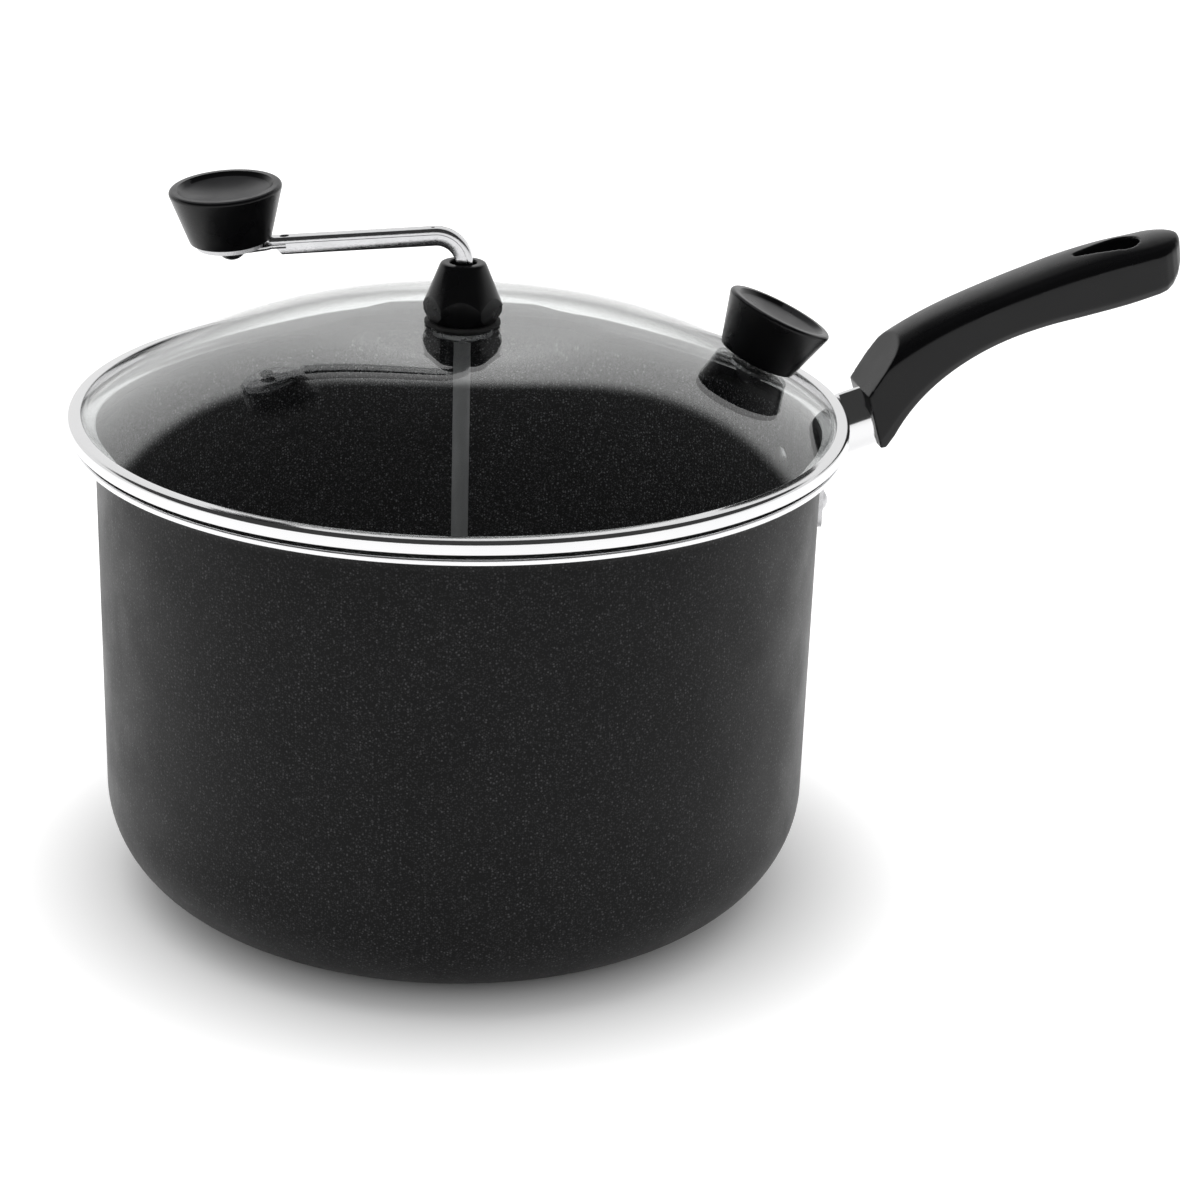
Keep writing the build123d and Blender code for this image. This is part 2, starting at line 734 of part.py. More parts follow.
def wire_shape(step):
    """A straight wire whose ends follow the pot's rounded bottom corner."""
    z = wire_z(step)
    centre_x, centre_z = corner_centre
    bend = centre_z - z
    sweep_angle = math.radians(wire_sweep)
    tip = (centre_x + bend * math.sin(sweep_angle), centre_z - bend * math.cos(sweep_angle))
    half = (centre_x + bend * math.sin(sweep_angle / 2), centre_z - bend * math.cos(sweep_angle / 2))
    path = Plane.XZ * Wire([
        ThreePointArc((-tip[0], tip[1]), (-half[0], half[1]), (-centre_x, z)),
        Line((-centre_x, z), (centre_x, z)),
        ThreePointArc((centre_x, z), half, tip),
    ])
    start = Plane(path @ 0, z_dir=path % 0)
    return sweep(start * Circle(wire_r), path)


def wire_hole(step):
    return Pos(0, 0, wire_z(step)) * Rot(0, 90, 0) * disc(wire_r + wire_fit, -2 * stirrer_r, 2 * stirrer_r)


def stirrer_wire_lower():
    return crank_frame * wire_shape(0)


def stirrer_wire_upper():
    return crank_frame * Rot(0, 0, 90) * wire_shape(1)


def stirrer_hub():
    """Block on the shaft's end that clamps both wires."""
    low = wire_z(0) - stirrer_foot - wire_r
    hub = disc(stirrer_r, low, stirrer_top)
    hub = chamfer(hub.edges().filter_by(GeomType.CIRCLE), stirrer_chamfer)
    hub -= disc(rod_r + stirrer_fit, rod_bottom, stirrer_top)
    hub -= wire_hole(0)
    hub -= Rot(0, 0, 90) * wire_hole(1)
    hub -= Pos(0, 0, grub_z) * Rot(90, 0, 0) * disc(grub_r + screw_fit, 0, 2 * stirrer_r)
    return crank_frame * hub


def stirrer_grub_screw():
    outer_end = stirrer_r - grub_inset
    grub = disc(grub_r, rod_r + running_fit, outer_end)
    hexagon = RegularPolygon(grub_socket_r, 6)
    socket = Pos(0, 0, outer_end - grub_socket_depth) * extrude(hexagon, 2 * grub_socket_depth)
    return crank_frame * Pos(0, 0, grub_z) * Rot(90, 0, 0) * (grub - socket)


# ---------------------------------------------------------------- knobs

def knob_shape():
    """Upturned cone with a finger dish, standing on Z = 0."""
    dish_r = knob_top_r - knob_rim
    bowl_r = dish_r - knob_dish_wall
    bowl_depth = knob_dish_depth - knob_dish_wall
    ball_r = (bowl_r**2 + bowl_depth**2) / (2 * bowl_depth)
    dish_low = knob_height - knob_dish_depth
    section = make_face([
        Line((0, 0), (knob_base_r, 0)),
        Line((knob_base_r, 0), (knob_top_r, knob_height)),
        Line((knob_top_r, knob_height), (dish_r, knob_height)),
        Line((dish_r, knob_height), (bowl_r, knob_height - knob_dish_wall)),
        CenterArc((0, dish_low + ball_r), ball_r, -90, math.degrees(math.asin(bowl_r / ball_r))),
        Line((0, dish_low), (0, 0)),
    ])
    rims = section.vertices().filter_by(lambda corner: corner.X > knob_base_r - 0.01)
    outer = [corner for corner in rims if corner.X > knob_top_r - 0.01 or corner.Y < 0.01]
    section = fillet(outer, knob_edge_r)
    knob = revolve(Plane.XZ * section, Axis.Z)
    return knob - disc(insert_r + press_fit, 0, insert_length)


def knob_insert():
    """Threaded metal insert moulded into a knob's foot."""
    return washer(insert_r, knob_thread_r + screw_fit, 0, insert_length)


def knob_place():
    """Frame at the crank knob's foot."""
    return crank_frame * tab_frame * Pos(crank_throw, 0, tab_top + stack_gap / 2 + knob_washer_t)


def crank_knob():
    return knob_place() * knob_shape()


def crank_knob_insert():
    return knob_place() * knob_insert()


def crank_knob_washer():
    return knob_place() * washer(knob_washer_r, pivot_r + running_fit, -knob_washer_t, 0)


def crank_knob_screw():
    """Shoulder screw: head under the tab, shoulder in its hole, thread in the knob."""
    head_z = -knob_washer_t - stack_gap - tab_t
    shoulder = disc(pivot_r, head_z, -pivot_short)
    thread = disc(knob_thread_r, -pivot_short, insert_length - thread_short)
    head = Pos(0, 0, head_z) * Rot(180, 0, 0) * dome_head(knob_head_r, knob_head_h)
    return knob_place() * (shoulder + thread + head)


def lid_knob_frame():
    """Frame on the dome's outer face at the knob, Z square to the glass."""
    lean = math.degrees(math.asin((lid_knob_at - glass_flat_r) / dome_r))
    return Rot(0, 0, lid_knob_turn) * Pos(lid_knob_at, 0, dome_z(lid_knob_at, dome_r)) * Rot(0, lean, 0)


lid_knob_bore_r = knob_thread_r + lid_knob_washer_play
knob_seat = lid_knob_over + lid_knob_seal_t  # lid knob's foot above the glass
washer_drop = glass_t + lid_knob_under


def lid_knob():
    return lid_knob_frame() * Pos(0, 0, knob_seat) * knob_shape()


def lid_knob_insert():
    return lid_knob_frame() * Pos(0, 0, knob_seat) * knob_insert()


def lid_knob_seal_upper():
    return lid_knob_frame() * washer(lid_knob_seal_r, lid_knob_bore_r, lid_knob_over, knob_seat)


def lid_knob_seal_lower():
    return lid_knob_frame() * washer(lid_knob_washer_r, lid_knob_bore_r, -washer_drop - seal_t, -washer_drop)


def lid_knob_washer():
    top = -washer_drop - seal_t
    return lid_knob_frame() * washer(lid_knob_washer_r, lid_knob_bore_r, top - lid_knob_washer_t, top)


def lid_knob_screw():
    seat = -washer_drop - seal_t - lid_knob_washer_t
    thread = disc(knob_thread_r, seat, seat + lid_knob_thread_length)
    head = Pos(0, 0, seat) * Rot(180, 0, 0) * dome_head(knob_head_r, knob_head_h)
    return lid_knob_frame() * (thread + head - Pos(0, 0, seat - knob_head_h) * cross_slot())


# ---------------------------------------------------------------- write every piece

pieces = [
    pot_body,
    handle_bracket,
    bracket_rivets,
    handle_ferrule,
    long_handle,
    handle_screw,
    glass_lid,
    lid_rim,
    hub_nut,
    hub_bushing,
    hub_seal_upper,
    hub_seal_lower,
    lid_knob,
    lid_knob_insert,
    lid_knob_seal_upper,
    lid_knob_seal_lower,
    lid_knob_washer,
    lid_knob_screw,
    crank_rod,
    stop_collar,
    thrust_washer,
    retaining_clip,
    stirrer_hub,
    stirrer_grub_screw,
    stirrer_wire_lower,
    stirrer_wire_upper,
    crank_knob,
    crank_knob_insert,
    crank_knob_washer,
    crank_knob_screw,
]

os.makedirs("parts", exist_ok=True)
for piece in pieces:
    export_step(piece(), f"parts/{piece.__name__}.step")
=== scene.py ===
"""Stovetop popcorn popper: the pot, glass lid, crank and handles dressed for the photograph's view.

Metres, in the model's own frame: the origin is the centre of the face the pot rests on, +Z is up
along the crank's shaft and the long handle points along +X.
"""
import json
import math

import bpy
from mathutils import Matrix, Vector

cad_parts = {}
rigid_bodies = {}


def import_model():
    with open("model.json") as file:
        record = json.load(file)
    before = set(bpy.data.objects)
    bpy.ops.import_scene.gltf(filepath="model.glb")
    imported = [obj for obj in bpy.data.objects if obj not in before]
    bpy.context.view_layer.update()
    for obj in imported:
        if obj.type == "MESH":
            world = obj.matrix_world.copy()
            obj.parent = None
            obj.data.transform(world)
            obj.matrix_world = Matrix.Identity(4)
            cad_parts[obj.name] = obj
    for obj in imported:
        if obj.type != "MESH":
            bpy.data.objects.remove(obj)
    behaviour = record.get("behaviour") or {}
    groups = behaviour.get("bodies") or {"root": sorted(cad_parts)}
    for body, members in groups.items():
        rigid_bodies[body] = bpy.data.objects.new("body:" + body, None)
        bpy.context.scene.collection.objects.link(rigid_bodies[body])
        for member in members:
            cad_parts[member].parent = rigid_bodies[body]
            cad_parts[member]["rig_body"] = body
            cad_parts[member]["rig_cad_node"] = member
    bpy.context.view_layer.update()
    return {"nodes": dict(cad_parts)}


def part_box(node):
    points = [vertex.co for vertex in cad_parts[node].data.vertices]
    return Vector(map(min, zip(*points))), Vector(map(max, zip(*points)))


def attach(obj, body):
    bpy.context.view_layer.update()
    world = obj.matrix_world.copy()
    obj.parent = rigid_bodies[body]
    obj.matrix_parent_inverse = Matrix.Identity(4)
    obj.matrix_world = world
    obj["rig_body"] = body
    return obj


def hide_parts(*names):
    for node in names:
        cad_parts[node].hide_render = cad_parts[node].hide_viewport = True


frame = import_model()

MM = 0.001
MERGE = 0.002 * MM
TURN_STEPS = 256  # sides of a large turned piece

# ---- sizes read from the frame ----
_, pot_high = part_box("pot_body")
rim_low, rim_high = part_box("lid_rim")
glass_low, glass_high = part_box("glass_lid")
hub_low, hub_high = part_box("hub_nut")

pot_height = pot_high.z
lip_r = pot_high.x
rim_r = rim_high.x
glass_r = glass_high.x
glass_top = glass_high.z


# ------------------------------------------------------------------ working by hand

def put_down_everything():
    """Nothing selected and no mesh being edited."""
    if bpy.context.object and bpy.context.object.mode != "OBJECT":
        bpy.ops.object.mode_set(mode="OBJECT")
    bpy.ops.object.select_all(action="DESELECT")


def take(piece):
    """Only this piece selected and active."""
    put_down_everything()
    piece.hide_set(False)
    piece.select_set(True)
    bpy.context.view_layer.objects.active = piece


def settle(piece, sharp=32.0):
    """Place kept in the mesh, shaded smooth but for the sharp edges."""
    take(piece)
    bpy.ops.object.transform_apply(location=True, rotation=True, scale=True)
    bpy.ops.object.shade_smooth_by_angle(angle=math.radians(sharp))


def mended_copy(node, name, sharp=32.0):
    """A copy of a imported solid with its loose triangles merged, so that it can be shaded smooth."""
    take(frame["nodes"][node])
    bpy.ops.object.duplicate()
    piece = bpy.context.object
    bpy.ops.object.parent_clear(type="CLEAR_KEEP_TRANSFORM")
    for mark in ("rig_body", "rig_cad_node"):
        if mark in piece:
            del piece[mark]
    piece.name = name
    piece.data.name = name
    bpy.ops.object.mode_set(mode="EDIT")
    bpy.ops.mesh.select_all(action="SELECT")
    bpy.ops.mesh.customdata_custom_splitnormals_clear()
    bpy.ops.mesh.remove_doubles(threshold=MERGE)
    bpy.ops.object.mode_set(mode="OBJECT")
    settle(piece, sharp)
    return piece


def soften_moulding(piece, grain, rounds):
    """Round off a moulding's edges: an even skin of small faces, smoothed a little."""
    take(piece)
    skin = piece.modifiers.new("even_skin", "REMESH")
    skin.mode = "VOXEL"
    skin.voxel_size = grain
    bpy.ops.object.modifier_apply(modifier=skin.name)
    smooth = piece.modifiers.new("worn_edges", "SMOOTH")
    smooth.factor = 0.5
    smooth.iterations = rounds
    bpy.ops.object.modifier_apply(modifier=smooth.name)
    bpy.ops.object.shade_smooth()


def arc(centre, radius, start, end, cuts):
    """Points of (radius, height) on an arc, angles in degrees from the outward direction."""
    points = []
    for cut in range(cuts + 1):
        angle = math.radians(start + (end - start) * cut / cuts)
        outward = radius * math.cos(angle)
        upward = radius * math.sin(angle)
        points.append((centre[0] + outward, centre[1] + upward))
    return points


def drawn_outline(name, points):
    """A closed wire in the XZ plane, from points of (x, z)."""
    return drawn_ring(name, [(x, 0, z) for x, z in points])


def drawn_ring(name, points):
    """A closed wire, extruded from point to point."""
    put_down_everything()
    bpy.ops.mesh.primitive_plane_add(size=MM, location=points[0])
    piece = bpy.context.object
    piece.name = name
    piece.data.name = name
    bpy.ops.object.mode_set(mode="EDIT")
    bpy.ops.mesh.select_mode(type="VERT")
    bpy.ops.mesh.merge(type="CENTER")
    for here, there in zip(points, points[1:]):
        step = Vector(there) - Vector(here)
        bpy.ops.mesh.extrude_vertices_move(TRANSFORM_OT_translate={"value": step})
    bpy.ops.mesh.select_all(action="SELECT")
    bpy.ops.mesh.edge_face_add()
    bpy.ops.mesh.delete(type="ONLY_FACE")
    bpy.ops.object.mode_set(mode="OBJECT")
    take(piece)
    bpy.ops.object.transform_apply(location=True, rotation=True, scale=True)
    return piece


def spin_piece(piece, steps=TURN_STEPS, sharp=32.0):
    """Spin a wire outline about the Z axis into a closed skin."""
    take(piece)
    bpy.ops.object.mode_set(mode="EDIT")
    bpy.ops.mesh.select_all(action="SELECT")
    bpy.ops.mesh.spin(steps=steps, angle=2 * math.pi, center=(0, 0, 0), axis=(0, 0, 1))
    bpy.ops.mesh.select_all(action="SELECT")
    bpy.ops.mesh.remove_doubles(threshold=MERGE)
    bpy.ops.mesh.normals_make_consistent(inside=False)
    bpy.ops.object.mode_set(mode="OBJECT")
    settle(piece, sharp)
    return piece


def slice_off(piece, point, outward):
    """Cut off what lies beyond a plane, and close the cut."""
    take(piece)
    bpy.ops.object.mode_set(mode="EDIT")
    bpy.ops.mesh.select_mode(type="FACE")
    bpy.ops.mesh.select_all(action="SELECT")
    bpy.ops.mesh.bisect(plane_co=point, plane_no=outward, use_fill=True, clear_outer=True)
    bpy.ops.object.mode_set(mode="OBJECT")


def drill(piece, cutter):
    """Cut one piece's shape out of another; the cutter is used up."""
    take(piece)
    cut = piece.modifiers.new("drilled", "BOOLEAN")
    cut.operation = "DIFFERENCE"
    cut.solver = "EXACT"
    cut.object = cutter
    bpy.ops.object.modifier_apply(modifier=cut.name)
    take(cutter)
    bpy.ops.object.delete()


def peg(radius, length, middle, turn=(0, 0, 0), sides=48):
    """A round peg, turned about the axes by angles in degrees."""
    put_down_everything()
    angles = [math.radians(angle) for angle in turn]
    bpy.ops.mesh.primitive_cylinder_add(
        vertices=sides, radius=radius, depth=length, location=middle, rotation=angles
    )
    piece = bpy.context.object
    take(piece)
    bpy.ops.object.transform_apply(location=True, rotation=True, scale=True)
    return piece


def faces_in(piece, test):
    """Select the faces whose middle passes a test."""
    take(piece)
    bpy.ops.object.mode_set(mode="EDIT")
    bpy.ops.mesh.select_mode(type="FACE")
    bpy.ops.mesh.select_all(action="DESELECT")
    bpy.ops.object.mode_set(mode="OBJECT")
    for face in piece.data.polygons:
        face.select = test(face.center, face.normal)
    bpy.ops.object.mode_set(mode="EDIT")


def finish_faces(piece, material, test):
    """Give the faces that pass a test another finish."""
    take(piece)
    bpy.ops.object.material_slot_add()
    piece.material_slots[-1].material = material
    faces_in(piece, test)
    piece.active_material_index = len(piece.material_slots) - 1
    bpy.ops.object.material_slot_assign()
    bpy.ops.object.mode_set(mode="OBJECT")


def dress(piece, material, body):
    """Set a piece's finish and the body that carries it."""
    piece.data.materials.clear()
    piece.data.materials.append(material)
    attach(piece, body)


# ------------------------------------------------------------------ finishes

class Finish:
    """A material being put together from nodes round one Principled shader."""

    def __init__(self, name, colour, metallic=0.0, roughness=0.5):
        self.material = bpy.data.materials.new(name)
        self.material.use_nodes = True
        self.material.diffuse_color = (*colour, 1)
        self.nodes = self.material.node_tree.nodes
        self.links = self.material.node_tree.links
        self.shader = self.nodes["Principled BSDF"]
        self.output = self.nodes["Material Output"]
        self.shader.inputs["Base Color"].default_value = (*colour, 1)
        self.shader.inputs["Metallic"].default_value = metallic
        self.shader.inputs["Roughness"].default_value = roughness
        self.place = self.nodes.new("ShaderNodeTexCoord").outputs["Object"]

    def set(self, socket, value):
        self.shader.inputs[socket].default_value = value

    def drive(self, socket, source):
        self.links.new(source, self.shader.inputs[socket])

    def math(self, kind, first, second=0.0, clamp=False):
        node = self.nodes.new("ShaderNodeMath")
        node.operation = kind
        node.use_clamp = clamp
        for socket, value in zip(node.inputs, (first, second)):
            if isinstance(value, (int, float)):
                socket.default_value = value
            else:
                self.links.new(value, socket)
        return node.outputs[0]

    def stretched(self, scale, turn=(0, 0, 0)):
        """Object coordinates turned and stretched, for marks that run one way."""
        node = self.nodes.new("ShaderNodeMapping")
        node.vector_type = "POINT"
        node.inputs["Rotation"].default_value = [math.radians(angle) for angle in turn]
        node.inputs["Scale"].default_value = scale
        self.links.new(self.place, node.inputs["Vector"])
        return node.outputs[0]

    def around_axis(self, round_scale, across_scale):
        """Coordinates for turning marks: slow round the Z axis, fast across it."""
        split = self.nodes.new("ShaderNodeSeparateXYZ")
        self.links.new(self.place, split.inputs[0])
        x, y, z = split.outputs
        squares = self.math("ADD", self.math("MULTIPLY", x, x), self.math("MULTIPLY", y, y))
        radius = self.math("SQRT", squares)
        along_x = self.math("DIVIDE", x, radius)
        join = self.nodes.new("ShaderNodeCombineXYZ")
        self.links.new(self.math("MULTIPLY", along_x, round_scale), join.inputs[0])
        self.links.new(self.math("MULTIPLY", radius, across_scale), join.inputs[1])
        self.links.new(self.math("MULTIPLY", z, across_scale), join.inputs[2])
        return join.outputs[0]

    def noise(self, scale, detail=2.0, rough=0.5, where=None):
        node = self.nodes.new("ShaderNodeTexNoise")
        node.inputs["Scale"].default_value = scale
        node.inputs["Detail"].default_value = detail
        node.inputs["Roughness"].default_value = rough
        self.links.new(where or self.place, node.inputs["Vector"])
        return node.outputs["Fac"]

    def specks(self, scale, size, share):
        """Small round specks: one in some of the cells of a random net."""
        cells = self.nodes.new("ShaderNodeTexVoronoi")
        cells.inputs["Scale"].default_value = scale
        self.links.new(self.place, cells.inputs["Vector"])
        near = self.math("SUBTRACT", size, cells.outputs["Distance"])
        dot = self.math("MULTIPLY", near, 1.0 / size * 2.5, clamp=True)
        split = self.nodes.new("ShaderNodeSeparateColor")
        self.links.new(cells.outputs["Color"], split.inputs[0])
        chosen = self.math("LESS_THAN", split.outputs[0], share)
        bright = self.math("MULTIPLY_ADD", split.outputs[1], 0.6)
        bright.node.inputs[2].default_value = 0.4
        return self.math("MULTIPLY", self.math("MULTIPLY", dot, chosen), bright)

    def spread(self, value, low, high, from_low=0.35, from_high=0.65):
        node = self.nodes.new("ShaderNodeMapRange")
        node.inputs["From Min"].default_value = from_low
        node.inputs["From Max"].default_value = from_high
        node.inputs["To Min"].default_value = low
        node.inputs["To Max"].default_value = high
        self.links.new(value, node.inputs["Value"])
        return node.outputs[0]

    def mix(self, factor, first, second):
        node = self.nodes.new("ShaderNodeMix")
        node.data_type = "RGBA"
        sockets = (node.inputs[0], node.inputs[6], node.inputs[7])
        for socket, value in zip(sockets, (factor, first, second)):
            if isinstance(value, tuple):
                socket.default_value = (*value, 1)
            else:
                self.links.new(value, socket)
        return node.outputs[2]

    def bump(self, height, strength, distance, under=None):
        node = self.nodes.new("ShaderNodeBump")
        node.inputs["Strength"].default_value = strength
        node.inputs["Distance"].default_value = distance
        self.links.new(height, node.inputs["Height"])
        if under:
            self.links.new(under, node.inputs["Normal"])
        return node.outputs[0]


def nonstick_coat(name, lift):
    """Sprayed charcoal non-stick coat: satin, with fine pale specks under its clear top layer. Lift
    scales all its colours; the pot's inside copy is lifted four times higher as painted light.
    """
    def grey(level, blue):
        return (level * lift, level * lift, blue * lift)

    coat = Finish(name, grey(0.010, 0.0105), roughness=0.42)
    cloud = coat.spread(coat.noise(14, 3), 0.0, 1.0)
    base = coat.mix(cloud, grey(0.0024, 0.0027), grey(0.0044, 0.0048))
    fine = coat.specks(1700, 0.55, 0.65)
    coarse = coat.specks(1100, 0.42, 0.30)
    with_fine = coat.mix(coat.math("MULTIPLY", fine, 0.85), base, grey(0.046, 0.048))
    with_coarse = coat.mix(coat.math("MULTIPLY", coarse, 0.90), with_fine, grey(0.105, 0.109))
    coat.drive("Base Color", with_coarse)
    rubbed = coat.noise(38, 4, 0.6)
    coat.drive("Roughness", coat.spread(rubbed, 0.36, 0.46))
    grain = coat.bump(coat.noise(1500, 2), 0.35, 0.00004)
    coat.drive("Normal", coat.bump(coat.noise(260, 2), 0.25, 0.00008, grain))
    coat.set("Specular IOR Level", 0.13)
    return coat.material


def bare_aluminium():
    """Turned bright aluminium where the coat is cut away at the lip and under the pot."""
    metal = Finish("bare_aluminium", (0.80, 0.80, 0.81), metallic=1.0, roughness=0.2)
    rings = metal.noise(1.0, 2, where=metal.around_axis(0.7, 6000))
    metal.drive("Roughness", metal.spread(rings, 0.14, 0.30))
    metal.drive("Base Color", metal.mix(metal.noise(45, 3), (0.74, 0.74, 0.75), (0.85, 0.85, 0.86)))
    metal.drive("Normal", metal.bump(rings, 0.25, 0.00003))
    return metal.material


def polished_steel():
    """Polished stainless with the faint lines that a wheel leaves round it."""
    metal = Finish("polished_steel", (0.72, 0.72, 0.725), metallic=1.0, roughness=0.1)
    lines = metal.noise(1.0, 3, where=metal.around_axis(2.0, 9000))
    smears = metal.noise(30, 3)
    metal.drive("Base Color", metal.mix(smears, (0.68, 0.68, 0.685), (0.76, 0.76, 0.765)))
    metal.drive("Roughness", metal.spread(lines, 0.07, 0.15))
    metal.drive("Normal", metal.bump(lines, 0.12, 0.00002))
    return metal.material


def rod_steel(turn):
    """Bright roll-formed steel with draw lines along the crank's arm."""
    metal = Finish("rod_steel", (0.60, 0.60, 0.61), metallic=1.0, roughness=0.14)
    draw = metal.noise(1.0, 3, where=metal.stretched((90, 5200, 5200), (0, 0, -turn)))
    scuffs = metal.noise(220, 4, 0.65)
    metal.drive("Base Color", metal.mix(scuffs, (0.52, 0.52, 0.53), (0.68, 0.68, 0.69)))
    metal.drive("Roughness", metal.spread(draw, 0.09, 0.20))
    metal.drive("Normal", metal.bump(draw, 0.14, 0.00002))
    return metal.material


def plain_steel():
    """Zinc-bright steel of screws, washers and the stirrer."""
    metal = Finish("plain_steel", (0.56, 0.56, 0.57), metallic=1.0, roughness=0.28)
    mottle = metal.noise(420, 4, 0.6)
    metal.drive("Base Color", metal.mix(mottle, (0.46, 0.46, 0.47), (0.64, 0.64, 0.65)))
    metal.drive("Roughness", metal.spread(mottle, 0.22, 0.36))
    metal.drive("Normal", metal.bump(metal.noise(1600, 2), 0.2, 0.00003))
    return metal.material


def shaft_steel():
    """The shaft below the lid, its polish dulled by heat and oil."""
    metal = Finish("shaft_steel", (0.60, 0.60, 0.61), metallic=0.35, roughness=0.42)
    stain = metal.noise(1.0, 4, 0.6, metal.stretched((160, 160, 55)))
    metal.drive("Base Color", metal.mix(stain, (0.40, 0.40, 0.41), (0.72, 0.72, 0.73)))
    metal.drive("Roughness", metal.spread(stain, 0.34, 0.52))
    draw = metal.noise(1.0, 2, where=metal.stretched((5200, 5200, 90)))
    metal.drive("Normal", metal.bump(draw, 0.2, 0.00003))
    return metal.material


def bakelite():
    """Moulded black bakelite: satin, with faint flow clouds and a handled sheen."""
    plastic = Finish("bakelite", (0.004, 0.004, 0.0045), roughness=0.40)
    flow = plastic.noise(26, 4, 0.6)
    clouded = plastic.mix(flow, (0.0020, 0.0020, 0.0024), (0.0042, 0.0042, 0.0048))
    plastic.drive("Base Color", clouded)
    handled = plastic.noise(60, 3, 0.55)
    plastic.drive("Roughness", plastic.spread(handled, 0.24, 0.34))
    plastic.set("Specular IOR Level", 0.24)
    grain = plastic.bump(plastic.noise(2400, 2), 0.25, 0.00002)
    plastic.drive("Normal", plastic.bump(plastic.noise(90, 2), 0.15, 0.00008, grain))
    return plastic.material


def clear_glass():
    """Toughened clear glass, faintly wavy from the press, with wiped smears."""
    glass = Finish("clear_glass", (0.975, 0.99, 0.985), roughness=0.0)
    glass.set("Transmission Weight", 1.0)
    glass.set("IOR", 1.5)
    smears = glass.noise(1.0, 3, 0.6, glass.stretched((22, 60, 30), (0, 0, 25)))
    glass.drive("Roughness", glass.spread(smears, 0.0, 0.004, 0.5, 0.75))
    glass.drive("Normal", glass.bump(glass.noise(9, 0), 0.02, 0.0004))
    let_lamps_in = glass.nodes.new("ShaderNodeBsdfTransparent")
    let_lamps_in.inputs["Color"].default_value = (0.98, 0.99, 0.985, 1)
    path = glass.nodes.new("ShaderNodeLightPath")
    mixed = glass.nodes.new("ShaderNodeMixShader")
    glass.links.new(path.outputs["Is Shadow Ray"], mixed.inputs[0])
    glass.links.new(glass.shader.outputs[0], mixed.inputs[1])
    glass.links.new(let_lamps_in.outputs[0], mixed.inputs[2])
    edge_on = glass.nodes.new("ShaderNodeLayerWeight")
    edge_on.inputs["Blend"].default_value = 0.5
    edge_from = 0.74
    edge_full = 0.90
    thin = glass.spread(edge_on.outputs["Facing"], 0.0, 1.0, edge_from, edge_full)
    see_past = glass.nodes.new("ShaderNodeBsdfTransparent")
    edged = glass.nodes.new("ShaderNodeMixShader")
    glass.links.new(thin, edged.inputs[0])
    glass.links.new(mixed.outputs[0], edged.inputs[1])
    glass.links.new(see_past.outputs[0], edged.inputs[2])
    glass.links.new(edged.outputs[0], glass.output.inputs["Surface"])
    return glass.material


def bakelite_painted_top_sheen():
    """The knobs' upward faces: bakelite painted a lighter grey, a painted sheen where the tops face the
    light, with mottled tone and roughness.
    """
    plastic = Finish("bakelite_painted_top_sheen", (0.022, 0.022, 0.023), roughness=0.32)
    # Noise that mottles the painted sheen's grey and its roughness.
    wear_and_painted_sheen = plastic.noise(70, 4, 0.6)
    plastic.drive("Base Color", plastic.mix(wear_and_painted_sheen, (0.012, 0.012, 0.013), (0.038, 0.038, 0.040)))
    plastic.drive("Roughness", plastic.spread(wear_and_painted_sheen, 0.26, 0.38))
    plastic.drive("Normal", plastic.bump(plastic.noise(2400, 2), 0.25, 0.00002))
    plastic.set("Specular IOR Level", 0.40)
    return plastic.material


def seal_rubber():
    """Matt black silicone with a dusty bloom."""
    rubber = Finish("seal_rubber", (0.018, 0.018, 0.018), roughness=0.7)
    bloom = rubber.noise(180, 4, 0.6)
    rubber.drive("Base Color", rubber.mix(bloom, (0.012, 0.012, 0.012), (0.030, 0.030, 0.030)))
    rubber.drive("Roughness", rubber.spread(bloom, 0.6, 0.82))
    rubber.drive("Normal", rubber.bump(rubber.noise(1900, 2), 0.3, 0.00004))
    return rubber.material


def turned_brass():
    """Brass of the threads moulded into the knobs."""
    metal = Finish("turned_brass", (0.72, 0.53, 0.24), metallic=1.0, roughness=0.25)
    marks = metal.noise(900, 3)
    metal.drive("Base Color", metal.mix(marks, (0.60, 0.43, 0.18), (0.80, 0.60, 0.28)))
    metal.drive("Roughness", metal.spread(marks, 0.18, 0.34))
    metal.drive("Normal", metal.bump(marks, 0.2, 0.00003))
    return metal.material


coat = nonstick_coat("nonstick_coat", 0.8)
# The inside is the same coat painted four times lighter: painted light standing in for the light that
# reaches into the pot.
inside_coat_painted_lighter = nonstick_coat("nonstick_inside_painted_light", 3.2)
aluminium = bare_aluminium()
steel = polished_steel()
crank_steel = rod_steel(170)
dull_steel = shaft_steel()
screw_steel = plain_steel()
black_plastic = bakelite()
painted_sheen_plastic = bakelite_painted_top_sheen()
lid_glass = clear_glass()
rubber = seal_rubber()
brass = turned_brass()


# ------------------------------------------------------------------ pot

